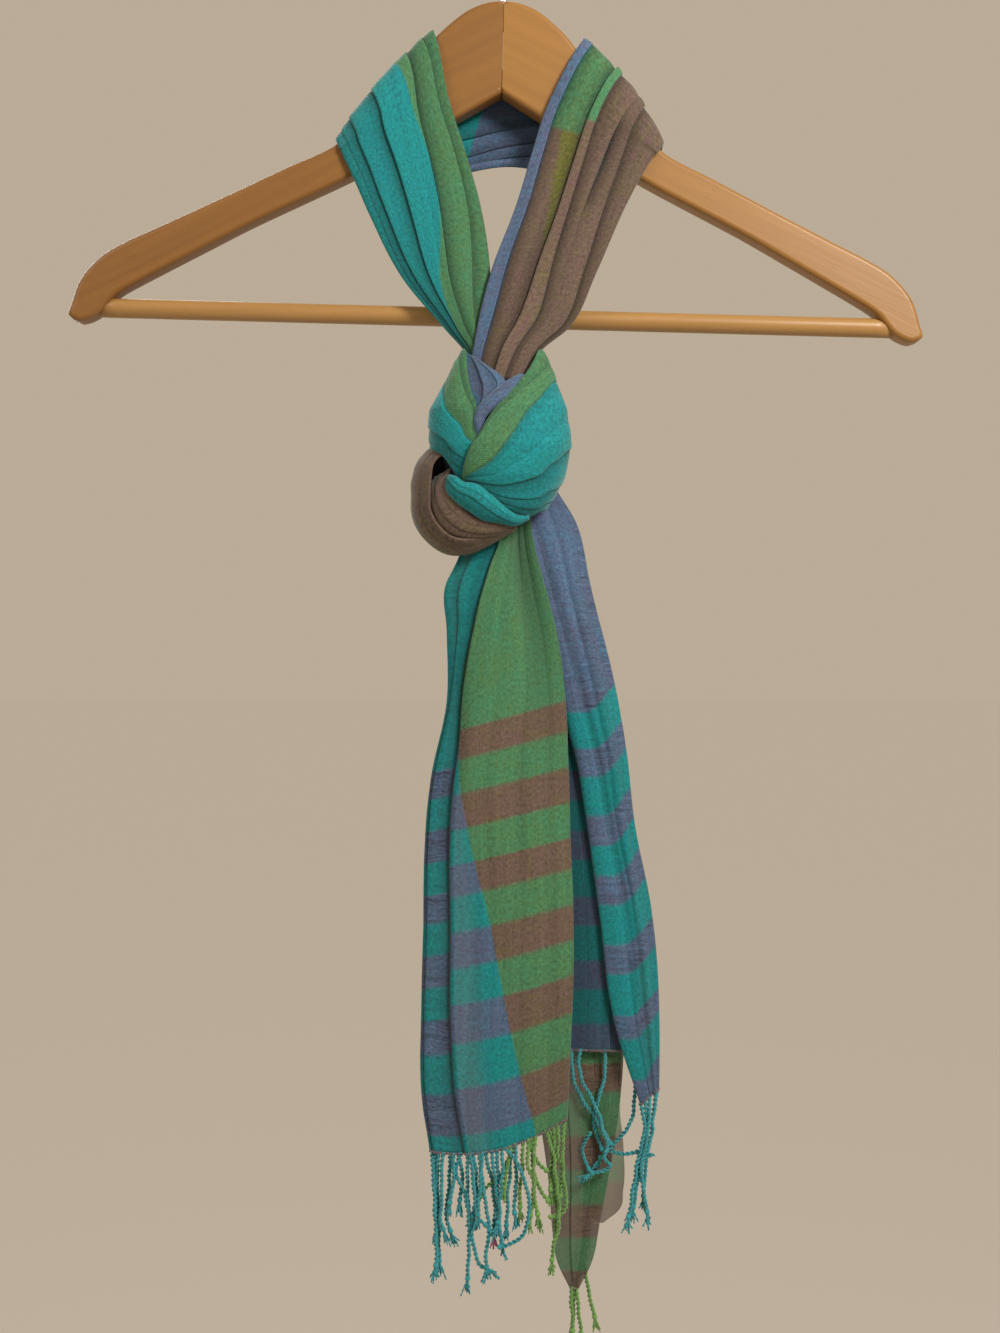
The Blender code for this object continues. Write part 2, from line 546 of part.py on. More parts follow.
def add_scarf():
    for name, rows, pleats, wall, colour in (
        ("collar_left", COLLAR_LEFT, LEFT_PLEATS, WALL, "teal"),
        ("collar_right", COLLAR_RIGHT, RIGHT_PLEATS, WALL, "brown"),
        ("collar_back", COLLAR_BACK, BACK_PLEATS, WALL, "violet"),
        ("knot_roll", ROLL, SOFT_PLEATS, WALL, "teal"),
        ("knot_bight_rim", BIGHT_RIM, SOFT_PLEATS, WALL, "brown"),
        ("knot_bight_face", BIGHT_FACE, SOFT_PLEATS, WALL, "brown"),
    ):
        walled(name, laid(rows, pleats), wall, colour)
    for name, rows, pleats, colour in (
        ("knot_wrap_left", WRAP_LEFT, WRAP_LEFT_PLEATS, "teal"),
        ("knot_wrap_right", WRAP_RIGHT, WRAP_RIGHT_PLEATS, "teal"),
        ("knot_wrap_back", WRAP_BACK, WRAP_LEFT_PLEATS, "teal"),
        ("knot_tuck", TUCK, SOFT_PLEATS, "violet"),
    ):
        walled(name, wrapped(rows, pleats), WALL, colour)
    add_core()
    for name, rows, pleats, colour, fringe, cord_colour in (
        ("tail_front", TAIL_FRONT, FRONT_PLEATS, "green", FRINGE_FRONT, "teal"),
        ("tail_inner", TAIL_INNER, TAIL_PLEATS, "teal", FRINGE_MIDDLE, "teal"),
        ("tail_right", TAIL_RIGHT, TAIL_PLEATS, "violet", FRINGE_RIGHT, "teal"),
        ("tail_back", TAIL_BACK, TAIL_PLEATS, "green", FRINGE_CORNER, "green"),
    ):
        grid = laid(rows, pleats)
        walled(name, grid, TAIL_WALL, colour)
        add_fringe(name.replace("tail", "fringe"), grid[0], fringe, cord_colour, seed=len(fringe) + fringe.cords)


for thing in list(bpy.data.objects):
    bpy.data.objects.remove(thing)
add_hanger()
add_scarf()
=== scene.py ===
import math

import bmesh
import bpy
import numpy as np
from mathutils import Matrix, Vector


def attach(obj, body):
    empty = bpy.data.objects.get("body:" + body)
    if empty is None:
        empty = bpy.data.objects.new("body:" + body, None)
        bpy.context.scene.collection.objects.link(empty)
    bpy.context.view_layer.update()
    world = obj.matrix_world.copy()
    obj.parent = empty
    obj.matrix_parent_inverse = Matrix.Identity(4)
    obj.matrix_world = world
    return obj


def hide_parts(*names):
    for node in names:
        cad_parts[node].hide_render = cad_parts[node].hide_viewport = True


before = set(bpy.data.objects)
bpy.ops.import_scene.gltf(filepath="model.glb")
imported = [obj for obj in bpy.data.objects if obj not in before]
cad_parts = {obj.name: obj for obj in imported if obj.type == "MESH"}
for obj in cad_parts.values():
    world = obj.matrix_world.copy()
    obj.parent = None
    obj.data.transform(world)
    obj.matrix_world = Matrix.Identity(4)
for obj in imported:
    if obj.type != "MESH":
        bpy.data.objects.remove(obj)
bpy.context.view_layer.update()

mm = 0.001

# threads of the cloth: every colour that shows is one warp crossed by one weft
threads = {
    "warpTeal": (0.006, 0.190, 0.300, 1),
    "warpLime": (0.112, 0.128, 0.012, 1),
    "weftTeal": (0.005, 0.232, 0.150, 1),
    "weftPink": (0.140, 0.042, 0.110, 1),
}

# a stretch of cloth lies between two edges, in millimetres; its rows run so that its face is outward
# rows: left edge x y z, right edge x y z, crown, how much of the pleats shows
# pleats: shares across the cloth where each starts, spaced evenly from the first row to the last, then the
# heights of its left side, middle and right side; a fifth value moves the bands along on it
# hollows: by a pleat's number, the share along the cloth where its left side sinks, the reach and the depth;
# the sunk side is darkened with painted shade
# dents: shares across of a soft valley, its reach across, its share and reach along the cloth, its depth;
# the valley is darkened with painted shade
# dye: shares across where the teal warp turns lime, spaced like those of a pleat, and which side is lime
# pink: stretches of pink weft, in metres from the first row, or up from the hem where one is given
# hem: height of its left end, rise to its right end, share across where the rise starts
# stripe: low and high side of a column of close warp, from the lime's edge, its top and how fast it narrows
# cover: how much of the weft that column hides
# zones: low and high shares across, how much of the background shows, how loose and wavy the weft lies, and
# the millimetres over which the high side fades out
# sag: how far the middle of the first edge hangs down, and how far along the cloth that reaches
# edgeFold: width turned under at both edges; lap: how far a pleat laps over a lower one
# ripple: height of the small waves, drawn from the seed; inShade: an even painted shade all over, for a
# piece that lies in shade
allTeal = (1.5, 1.5, 1.5, 1)
allLime = (-0.5, -0.5, -0.5, 1)
allPink = [(-1, 1)]

collarLeft = {
    "rows": [
        (-21, -24, -259, -13, -25, -259, 2, 0.3),
        (-20.5, -19, -249, -9, -19.5, -249.5, 3, 0.35),
        (-32, -16, -234, -10, -17, -231, 3.5, 0.55),
        (-53, -13, -209, -8, -15, -208, 3.5, 0.85),
        (-71, -11, -175, -13, -13, -171, 3, 1),
        (-80, -9.8, -154, -21.5, -11, -140, 2.5, 1),
        (-86.5, -9, -140, -31, -9.6, -108, 2, 1),
        (-87.5, -8.8, -138, -35.5, -9, -84, 2, 0.8),
        (-89.4, -5.8, -133.6, -37.8, -5.8, -76, 2.2, 0.6),
        (-89.8, 0, -131.4, -38, 0, -73.2, 2.5, 0.6),
        (-89.4, 5.8, -133.6, -37.8, 5.8, -76, 2.2, 0.6),
        (-86, 8.8, -139, -33, 8.8, -83, 1.5, 0.8),
        (-66, 9.4, -148, -21, 9.6, -87.5, 1, 0.8),
    ],
    "pleats": [
        ((0, 0, 0), 0.2, 0.7, 0.2),
        ((0.05, 0.06, 0.06), 0.9, 1.1, 0.3),
        ((0.12, 0.15, 0.16), 1.9, 1.5, 0.5),
        ((0.22, 0.37, 0.4), 2.3, 2.0, 2.3),
        ((0.4, 0.66, 0.8), 0.6, 1.4, 1.7),
        ((0.68, 0.9, 0.9), 0.3, 0.9, 0.3),
    ],
    "dye": (0.12, 0.66, 0.62, 1), "pink": [], "edgeFold": 5.0, "lap": 2.6, "ripple": 0.4, "seed": 3,
}

collarRight = {
    "rows": [
        (-20, -27, -266, 8.5, -30, -262, 2, 0.5),
        (-18.3, -25, -250.5, 17, -24.5, -247, 3, 0.8),
        (-15.2, -22, -231, 32.5, -18, -233, 4, 1),
        (-7.3, -18.5, -201, 46.6, -14, -204, 4, 1),
        (4, -15, -170, 61, -11.5, -170, 3.5, 1),
        (13, -12, -140, 71.5, -9.8, -150.5, 3, 1),
        (20, -10.5, -118, 77, -9.2, -142, 2.5, 1),
        (33.5, -9, -90, 79, -8.8, -140.5, 2.5, 0.9),
        (38.8, -5.8, -81, 81.8, -5.8, -136, 2.6, 0.8),
        (40, 0, -77.5, 82.4, 0, -133.4, 3, 0.8),
        (38.8, 5.8, -81, 81.8, 5.8, -136, 2.6, 0.8),
        (35, 8.8, -87, 79, 8.8, -141, 1.5, 0.8),
        (24, 9.6, -88, 58, 9.4, -149, 1, 0.8),
    ],
    "pleats": [
        ((0, 0, 0), 0.2, 1.1, 2.0, 0.4),
        ((0.18, 0.125, 0.08), 0.2, 1.3, 0.3, 1.0),
        ((0.4, 0.385, 0.3), 2.9, 3.0, 2.2, 0.95),
        ((0.68, 0.5, 0.38), 0.3, 1.8, 1.8, 0.4),
        ((0.76, 0.645, 0.62), 1.4, 2.5, 1.9, 0.4),
        ((0.97, 0.82, 0.66), 0.2, 1.0, 0.4, 0.4),
    ],
    "hollows": {4: (0.62, 0.09, 6.5)},
    "stripe": (6.0, 15.5, 132.0, 0.14), "dye": (0.18, 0.125, 0.08, 1), "pink": [(-1, 0.140)],
    "edgeFold": 5.0, "lap": 2.8, "ripple": 0.45, "seed": 8,
}

collarBack = {
    "rows": [
        (-65.3, 9.5, -148.4, -20.3, 9.7, -87.9, 1, 0.8),
        (-35, 10, -147.5, -10, 10, -89.5, 1, 1),
        (0, 10.2, -142, 0, 10.2, -90, 1, 1),
        (35, 10, -147.5, 12, 10, -89.5, 1, 1),
        (57.3, 9.5, -149.4, 23.3, 9.7, -88.4, 1, 0.8),
    ],
    "pleats": [
        ((0, 0, 0), 0.2, 0.8, 1.4),
        ((0.05, 0.12, 0.34), 0.2, 0.9, 1.6),
        ((0.14, 0.24, 0.5), 0.2, 1.1, 1.6),
        ((0.34, 0.42, 0.62), 0.2, 1.1, 1.4),
        ((0.66, 0.72, 0.8), 0.2, 0.8, 0.3),
    ],
    "dye": allTeal, "pink": [(0.028, 1)], "edgeFold": 4.0, "lap": 2.0, "ripple": 0.3, "seed": 5,
}

# on the knot the edges are given by x, height above its envelope, and z
# an x past the outline goes round behind
knotShape = {
    "axisY": -22.0, "span": 32.0, "turnShare": 0.94, "turnDegrees": 70.0,
    "girth": [  # z, middle, half width, half depth
        (-240, -3.4, 15, 6), (-244, -3.4, 17, 7.5), (-250, -3.6, 19.5, 10.5), (-259, -4.2, 23, 14.5),
        (-277, -5.5, 30, 20), (-297, -5, 32, 22), (-312, -3.5, 27.5, 20), (-328, -3.2, 19.5, 14.5),
        (-338, -4.5, 8, 6),
    ],
}

knotTuck = {
    "rows": [
        (-19, 0.6, -286, -12, 0.6, -283, 0, 0.3),
        (-19.6, 0.9, -276.5, -5.5, 0.9, -273.5, 0.6, 0.7),
        (-21.3, 0.9, -267.2, -0.6, 0.9, -266, 1, 1),
        (-22.1, 0.9, -259.6, -3.1, 1.0, -262, 1, 1),
        (-22.1, 0.9, -252.8, -9.9, 1.2, -256.6, 0.8, 0.8),
        (-21.7, 0.9, -246.9, -16.2, 1.2, -251.3, 0.4, 0.4),
    ],
    "pleats": [
        ((0, 0, 0), 0.2, 0.5, 0.4), ((0.5, 0.42, 0.62), 1.8, 1.0, 0.3), ((0.82, 0.74, 0.86), 1.3, 1.0, 0.9),
    ],
    "dye": (-0.5, -0.5, -0.5, -1), "pink": allPink, "stripe": (-16.5, 50.0, 0.0, 0.0), "cover": 0.17,
    "edgeFold": 3.0, "lap": 2.0, "ripple": 0.35, "seed": 12,
}

knotTwist = {
    "rows": [
        (-14.9, 1.6, -293.5, -12, 1.6, -294.5, 0.4, 0.2),
        (-16.9, 2.0, -288.3, -12, 2.2, -289.1, 1.2, 0.6),
        (-16.6, 2.2, -281.5, -10.3, 2.4, -283.7, 1.6, 1),
        (-13.2, 2.2, -276.5, -5.2, 2.4, -278.6, 1.8, 1),
        (-7.3, 2.2, -270.6, 0.7, 2.4, -273.5, 1.8, 1),
        (-0.6, 2.0, -264.7, 5.7, 2.2, -268, 1.4, 0.8),
        (5.7, 1.4, -260.9, 10.8, 1.6, -262.1, 0.4, 0.4),
    ],
    "pleats": [((0, 0, 0), 0.5, 0.9, 0.6), ((0.45, 0.5, 0.6), 0.9, 0.8, 0.4)],
    "dye": allTeal, "pink": allPink, "edgeFold": 2.0, "lap": 1.4, "ripple": 0.3, "seed": 15,
}

knotWrapLeft = {
    "rows": [
        (-22.1, 2.2, -314.6, -14.3, 2.6, -293.5, 0, 0.3),
        (-25.5, 2.4, -312, -16.2, 2.8, -289, 0.5, 0.6),
        (-28.4, 2.4, -307.5, -15.6, 2.8, -281.5, 1, 0.9),
        (-31.8, 2.4, -302.5, -15.4, 2.8, -277, 1.2, 1),
        (-36.0, 2.4, -299.2, -17.8, 2.8, -269.7, 1.4, 1),
        (-39.6, 1.8, -298, -19.6, 2.8, -261.3, 1.4, 1),
        (-43.5, 1.0, -297, -20.4, 2.8, -252.8, 1.2, 1),
        (-45.5, 0.9, -295, -21.2, 2.4, -245.6, 0.6, 0.7),
        (-47, 0.9, -290, -25, 1.4, -246, 0.2, 0.5),
        (-48.5, 0.9, -282, -30.9, 0.9, -250, 0, 0.3),
    ],
    "pleats": [
        ((0, 0, 0), 0.2, 0.9, 0.3),
        ((0.2, 0.13, 0.09, 0.08, 0.07, 0.06), 0.9, 1.2, 0.5),
        ((0.44, 0.3, 0.24, 0.25, 0.27, 0.24), 1.7, 1.6, 0.9),
        ((0.84, 0.66, 0.58, 0.62, 0.68, 0.74), 0.5, 1.2, 1.4),
        ((0.97, 0.93, 0.89), 0.4, 0.8, 0.7),
    ],
    "dye": (0.84, 0.66, 0.58, 0.62, 0.68, 0.74, 1), "pink": [],
    "edgeFold": 2.5, "lap": 2.2, "ripple": 0.35, "seed": 21,
}

knotWrapRight = {
    "rows": [
        (-22.5, 4.6, -314, -22.1, 4.6, -315.8, 0, 0.1),
        (-21, 4.8, -305.2, -18.3, 4.8, -316.8, 0.4, 0.4),
        (-18.5, 4.8, -298.4, -14.1, 4.8, -319.5, 0.7, 0.7),
        (-14.1, 4.6, -292.3, -9, 4.6, -323.3, 1, 0.9),
        (-11.1, 4.4, -286.6, -3.1, 4.4, -327.5, 1.2, 1),
        (-7.3, 4.2, -280.7, 3.6, 4.2, -331, 1.4, 1),
        (-0.6, 4.2, -273.1, 11.2, 3.8, -332, 1.6, 1),
        (4.9, 4.2, -265.9, 16.5, 4.2, -329.5, 1.6, 1),
        (9.1, 4.2, -260.4, 19.2, 3.6, -328.5, 1.5, 1),
        (12.9, 4.1, -253.5, 21, 3.2, -327, 1.3, 1),
        (16.8, 3.9, -245.6, 23.5, 2.8, -326, 1.1, 0.9),
        (21, 2.6, -247, 27, 2, -323, 0.8, 0.8),
        (24.3, 0.9, -251, 29.4, 0.9, -320, 0.2, 0.5),
    ],
    "pleats": [
        ((0, 0, 0), 0.5, 1.2, 0.5),
        ((0.03, 0.04, 0.14), 1.4, 1.5, 1.3),
        ((0.7, 0.25, 0.22), 0.5, 1.7, 1.2),
        ((0.8, 0.46, 0.46), 1.3, 2.0, 1.6),
        ((0.86, 0.68, 0.62), 0.3, 1.4, 1.4),
        ((0.94, 0.86, 0.88), 0.3, 1.2, 1.0),
        ((0.98, 0.95, 0.96), 0.2, 0.7, 0.3),
    ],
    "dye": (0.7, 0.25, 0.22, -1), "pink": [], "edgeFold": 3.0, "lap": 2.6, "ripple": 0.4, "seed": 33,
}

knotWrapBack = {
    "rows": [
        (21, 0.9, -330, 31.5, 0.9, -329.5, 0, 0.3),
        (29, 0.9, -318, 48, 0.9, -317, 0.4, 0.7),
        (38, 0.9, -302, 59, 0.9, -301, 0.6, 1),
        (37, 0.9, -280, 53, 0.9, -279, 0.6, 1),
        (26, 0.9, -254, 36, 0.9, -253, 0, 0.6),
    ],
    "pleats": [
        ((0, 0, 0), 0.3, 0.8, 1.2), ((0.24, 0.2, 0.24), 0.1, 0.8, 1.3), ((0.5, 0.46, 0.5), 0.1, 0.9, 1.2),
        ((0.76, 0.74, 0.76), 0.1, 0.7, 0.3),
    ],
    "dye": (0.5, 0.55, 0.5, 1), "pink": [], "edgeFold": 0, "lap": 1.8, "ripple": 0.3, "seed": 41,
}

knotRoll = {
    "rows": [
        (-28.8, -36.5, -311, -31, -36, -315, 0.8, 0.3),
        (-25.5, -41.5, -312.3, -30.5, -39, -320, 2, 0.7),
        (-21.3, -44.5, -315.4, -25.1, -41.5, -326.3, 2.6, 1),
        (-14.9, -45.5, -316.6, -18.3, -42, -331.3, 3, 1),
        (-7.3, -44.5, -322.3, -12.4, -41.5, -334.9, 3, 1),
        (-0.6, -42, -328, -4, -39, -336, 2.4, 0.9),
        (4.5, -38.5, -331, 3.6, -36, -337.1, 1.4, 0.6),
        (11, -34, -331.8, 10.5, -33, -333.6, 0.3, 0.3),
    ],
    "pleats": [
        ((0, 0, 0), 0.3, 0.8, 0.9), ((0.3, 0.3, 0.5), 0.3, 0.8, 1.1), ((0.42, 0.55, 0.72), 0.2, 0.7, 0.3),
    ],
    "dye": allTeal, "pink": [], "edgeFold": 3.0, "lap": 1.6, "ripple": 0.3, "seed": 52,
}

knotBightRim = {
    "rows": [
        (-29, -33, -301, -27, -14, -297, 4, 0.3),
        (-33.9, -36, -302.4, -29, -12, -299, 8, 0.6),
        (-36.8, -37, -306, -29, -9, -304, 13, 0.8),
        (-37.8, -38, -312, -28, -8, -311, 16, 1),
        (-38.5, -38.5, -320, -27, -8, -319, 16.5, 1),
        (-37.7, -38.5, -330.5, -27, -8, -328, 16, 1),
        (-33.5, -38.5, -337.5, -25, -9, -333, 14, 1),
        (-27.6, -38.5, -342.3, -22, -10, -336, 12, 1),
        (-20.8, -38, -343.6, -19, -12, -338, 9, 1),
        (-14.1, -37, -342.6, -14, -15, -338.5, 7, 0.8),
        (-6, -35.5, -341, -7, -18, -338.5, 4, 0.5),
        (3.6, -33.5, -338.6, 1, -22, -337, 1, 0.2),
    ],
    "pleats": [
        ((0, 0, 0), 0.2, 0.7, 0.4), ((0.12, 0.12, 0.12), 0.9, 1.1, 1.0), ((0.36, 0.34, 0.36), 0.2, 0.6, 0.4),
        ((0.62, 0.62, 0.62), 0.6, 0.6, 0.2),
    ],
    "dye": allLime, "pink": allPink, "stripe": (25.0, 30.0, 0.0, 0.0),
    "edgeFold": 3.0, "lap": 1.8, "ripple": 0.35, "seed": 61,
}

knotBightFace = {
    "rows": [
        (-28.5, -33, -307.5, -39, -27, -313.5, 0.4, 0.2),
        (-29.4, -38, -317.4, -40.4, -31.5, -321.4, 1, 0.6),
        (-26.8, -40.5, -323.4, -39.5, -33, -329, 1.6, 0.9),
        (-21.8, -40.8, -328, -36.5, -33.5, -337.5, 2, 1),
        (-16.4, -40.6, -332.2, -29.5, -34, -343, 2, 1),
        (-9.9, -40.2, -334.2, -19.2, -34, -344.4, 1.8, 1),
        (-2.3, -37.6, -335.2, -7.5, -33, -342.4, 1.2, 0.8),
        (5, -34, -336.4, 4, -31.5, -338.8, 0.2, 0.3),
    ],
    "pleats": [
        ((0, 0, 0), 0.1, 0.6, 0.5), ((0.3, 0.3, 0.3), 0.2, 0.8, 0.9), ((0.62, 0.56, 0.56), 0.2, 0.6, 0.8),
        ((0.84, 0.8, 0.8), 0.1, 0.4, 0.1),
    ],
    "dye": allLime, "pink": allPink, "edgeFold": 2.0, "lap": 1.4, "ripple": 0.3, "seed": 66,
}

tailFront = {
    "rows": [
        (-40, -20, -655.3, 31, -20, -638.4, 2, 0.5),
        (-44, -20.5, -627, 32, -21, -616, 2.5, 0.7),
        (-44.6, -21, -590, 33.2, -22, -586, 2.8, 0.8),
        (-43, -21, -540, 34.2, -22, -536, 3, 0.9),
        (-42.6, -21, -503, 32.8, -22, -500, 3.5, 1),
        (-39.2, -20.5, -464, 31.8, -22, -461, 4, 1),
        (-31, -20.3, -424, 30, -22, -424, 4.2, 1),
        (-31.5, -20, -390, 26, -21, -392, 4.5, 1),
        (-32.4, -19.5, -366, 18.5, -20, -362, 4.5, 1),
        (-26, -18.5, -352.6, 13.5, -19.5, -343, 4, 0.8),
        (-22, -21, -341, 11.5, -24, -331, 3, 0.5),
        (-17, -22, -330, 9, -24, -322, 2, 0.3),
    ],
    "pleats": [
        ((0, 0), 0.2, 0.6, 0.3, 1.1),
        ((0.015, 0.012, 0.012, 0.012, 0.012, 0.012, 0.012, 0.03, 0.1, 0.15, 0.2), 1.4, 1.7, 0.8, 1.1),
        ((0.25, 0.22, 0.19, 0.175, 0.17, 0.165, 0.165, 0.12, 0.24, 0.45, 0.58), 4.0, 4.6, 3.6),
        ((0.46, 0.46, 0.46, 0.46, 0.44, 0.42, 0.4, 0.42, 0.5, 0.66, 0.72), 3.6, 4.2, 3.0),
        ((0.66, 0.66, 0.65, 0.64, 0.64, 0.64, 0.64, 0.66, 0.7, 0.78, 0.82), 3.0, 3.4, 1.6),
        ((0.85, 0.84, 0.84, 0.86, 0.86, 0.9), 1.6, 2.0, 0.6),
    ],
    "dye": (0.77, 0.67, 0.57, 0.48, 0.385, 0.28, 0.19, 0.12, 0.24, 0.46, 0.6, 1),
    "hem": (-655.0, 17.5, 0.0),
    "pink": [(0.009, 0.032), (0.054, 0.073), (0.091, 0.109), (0.127, 0.143), (0.161, 0.179), (0.197, 0.213)],
    "dents": [((0.5, 0.6, 0.76, 0.82), 0.22, 0.95, 0.26, 6.5), ((0.3, 0.36, 0.3), 0.05, 0.1, 0.3, 1.4)],
    "zones": [
        ((-1, -1), (0.25, 0.19, 0.16, 0.14, 0.22, 0.55), 0.12, 1.0, 2),
        ((0.25, 0.22, 0.19, 0.175, 0.17, 0.165, 0.165, 0.12, 0.24, 0.45, 0.58),
         (0.46, 0.42, 0.36, 0.3, 0.22, 0.1, 0.1), 0.26, 0.3, 14),
    ],
    "sag": (6.5, 130.0), "edgeFold": 3.0, "lap": 4.0, "ripple": 0.5, "seed": 71,
}

tailRight = {
    "rows": [
        (68.5, -13, -633.5, 78.5, -13, -625, 0.5, 0.4),
        (56.5, -13.5, -597, 79, -13, -598, 1.5, 0.8),
        (47, -14, -532, 74.5, -13, -530, 2, 1),
        (41, -14, -489, 66, -13, -488, 2, 1),
        (35, -14, -455, 62, -13, -452, 2.2, 1),
        (27, -13, -425, 57, -12, -422, 2.5, 1),
        (12, -12, -364, 43, -9, -364, 2.2, 0.8),
        (5, -14, -341, 36.5, -5.5, -333, 1.4, 0.6),
        (6, -14, -323, 25.5, -13, -316, 0, 0.3),
    ],
    "pleats": [
        ((0, 0, 0), 1.2, 2.0, 0.6), ((0.5, 0.38, 0.3), 0.6, 2.6, 0.7), ((0.7, 0.6, 0.62), 0.7, 2.4, 1.0),
        ((0.88, 0.84, 0.84), 1.0, 1.4, 0.2),
    ],
    "dye": allTeal,
    "hem": (-640.0, 14.5, 0.36),
    "pink": [(-1, 0.0195), (0.041, 0.053), (0.0745, 0.0895), (0.110, 0.125), (0.1405, 0.156),
             (0.176, 0.1905), (0.209, 1)],
    "zones": [((-1, -1, -1, 1), (0.5, 0.4), 0.05, 0.5, 2), ((0.5, 0.4, 0.4, 1), (2, 2), 0.14, 0.9, 2)],
    "dents": [((0.62, 0.5, 0.42, 0.4), 0.09, 0.3, 0.5, 2.6)],
    "edgeFold": 2.0, "lap": 2.4, "ripple": 0.5, "seed": 83,
}

tailInner = {
    "rows": [
        (28, -9, -606, 68, -8.6, -607, 0.8, 0.8),
        (28, -9.4, -530, 66, -9, -530, 1, 1),
        (22, -9.4, -450, 54, -8.6, -450, 1, 1),
        (12, -6.4, -385, 38, -5.4, -385, 0.8, 0.8),
        (3.5, -7, -339, 20, -7, -339, 0, 0.2),
    ],
    "pleats": [
        ((0, 0, 0), 0.2, 0.8, 0.4), ((0.3, 0.32, 0.35), 0.6, 1.0, 0.9), ((0.65, 0.66, 0.68), 0.3, 0.8, 0.2),
    ],
    "dye": allTeal,
    "hem": (-606.5, 0.0, 0.0),
    "pink": [(0.001, 0.014), (0.032, 0.047), (0.065, 0.080), (0.099, 0.114), (0.130, 0.145), (0.160, 1)],
    "inShade": 0.5, "edgeFold": 0, "lap": 2.0, "ripple": 0.4, "seed": 92,
}

tailBack = {
    "rows": [
        (32.5, -4, -731.5, 37, -4, -733, 0, 0),
        (26.5, -4, -719, 44, -4, -719, 0.4, 0.5),
        (23.5, -4, -700, 48.5, -4, -697, 0.8, 0.8),
        (22, -4, -680, 52.5, -4, -676, 1, 0.9),
        (18, -4.4, -650, 57.5, -4.4, -646, 1, 1),
        (8, -4.2, -605, 61, -4.2, -604, 1.2, 1),
        (-6, -4, -560, 60, -4, -560, 1.2, 1),
        (-26, -2.5, -450, 34, -2.5, -450, 1.2, 1),
        (-24, -2, -380, 14, -1.5, -380, 1, 0.8),
        (-16, -5.5, -340, 8, -5.5, -340, 0, 0.3),
        (-13, -9.5, -328, 7, -9.5, -328, 0, 0.2),
    ],
    "pleats": [
        ((0, 0, 0), 0.1, 0.6, 0.4), ((0.35, 0.34, 0.35), 0.8, 1.0, 0.6), ((0.7, 0.7, 0.68), 0.3, 0.8, 0.2),
    ],
    "dye": allLime,
    "hem": (-733.0, 0.0, 0.0),
    "pink": [(-1, 0.0104), (0.028, 0.045), (0.0635, 0.081), (0.104, 0.119), (0.140, 0.156), (0.176, 0.192)],
    "zones": [
        ((-1, -1), (2, 2), 0.10, 0.9, 2), ((0.8, 0.74, 0.74), (2, 2), 0.3, 1.0, 2),
        ((-1, -1), (0.7, 0.3, -1), 0.34, 1.0, 14),
    ],
    "edgeFold": 0, "lap": 1.6, "ripple": 0.5, "seed": 97,
}

tailCorner = {
    "rows": [
        (48, -1.6, -698.5, 50, -1.6, -698.7, 0, 0),
        (42, -1.8, -694, 57.5, -1.6, -693, 0.4, 0.5),
        (40, -2, -682, 60.8, -1.6, -681, 0.6, 1),
        (42, -2, -662, 61, -1.6, -660, 0.6, 1),
        (43, -2, -640, 59, -1.6, -640, 0.6, 1),
        (36, -2.2, -606, 60, -2.2, -606, 0.4, 0.6),
        (32, -2.2, -560, 59, -2.2, -560, 0.4, 0.6),
        (8, -0.6, -450, 33, -0.6, -450, 0.4, 0.6),
        (-4, -0.4, -380, 13, 0, -380, 0.4, 0.6),
        (-4, -3.4, -341, 7, -3.4, -341, 0, 0.4),
        (-3, -8.2, -329, 5, -8.2, -329, 0, 0.2),
    ],
    "pleats": [((0, 0, 0), 0.1, 0.6, 0.4), ((0.5, 0.5, 0.5), 0.4, 0.8, 0.2)],
    "dye": allLime,
    "hem": (-699.0, 0.0, 0.0),
    "pink": [(-1, 0.022), (0.036, 0.047), (0.070, 0.085), (0.106, 0.122), (0.142, 0.158)],
    "zones": [((-1, -1), (2, 2), 0.5, 0.7, 2)],
    "edgeFold": 0, "lap": 1.2, "ripple": 0.4, "seed": 103,
}

clothFinish = {
    "thickness": 0.35, "stepAlong": 1.7, "stepAcross": 0.8, "stepOnKnot": 1.2, "leastPoints": 7,
    "slack": 1.25, "under": (-1.2, -1.2, -0.7), "mostLap": 0.4, "steepSide": 2.2, "loose": 0.15,
    # foldShade, fullShade, hollowShade and dentShade: reach and strength of the painted shade in folds,
    # hollows and dents
    "lowFade": 2, "calmest": 0.25, "foldShade": 4.5, "fullShade": 1.6, "hollowShade": 0.2, "dentShade": 0.13,
    "ripples": [(0.6, 7.0, 60.0), (0.4, 3.4, 34.0), (0.07, 1.3, 9.0)],  # height, length across and along
}


def noise2(x, y, seed, cells=64):  # smooth value noise, -1 to 1, the same on each run
    lattice = np.random.default_rng(seed).uniform(-1, 1, (cells, cells))
    xi, yi = np.floor(x).astype(int), np.floor(y).astype(int)
    xf, yf = x - xi, y - yi
    xs, ys = xf * xf * (3 - 2 * xf), yf * yf * (3 - 2 * yf)
    at = lambda i, j: lattice[(xi + i) % cells, (yi + j) % cells]
    low = at(0, 0) * (1 - xs) + at(1, 0) * xs
    high = at(0, 1) * (1 - xs) + at(1, 1) * xs
    return low * (1 - ys) + high * ys


def curveAt(p1, p2, m1, m2, t):  # on a smooth curve that leaves p1 along m1 and comes to p2 along m2
    return (p1 * (1 + 2 * t) * (1 - t) ** 2 + p2 * t * t * (3 - 2 * t) + m1 * t * (1 - t) ** 2
            - m2 * t * t * (1 - t))


def smoothRows(rows, step):  # sections every few millimetres on a smooth curve through the rows
    table = np.array(rows, float)
    middle = 0.5 * (table[:, 0:3] + table[:, 3:6])
    spans = np.linalg.norm(np.diff(middle, axis=0), axis=1)
    at = np.concatenate([[0], np.cumsum(spans)])
    slope = np.gradient(table, at, axis=0)
    sections, rowAt = [], []
    for i, span in enumerate(spans):
        count = max(4, int(math.ceil(span / step)))
        for t in np.arange(count) / count:
            sections.append(curveAt(table[i], table[i + 1], span * slope[i], span * slope[i + 1], t))
            rowAt.append((at[i] + span * t) / at[-1])
    return np.array(sections + [table[-1]]), np.array(rowAt + [1.0]), at[-1]


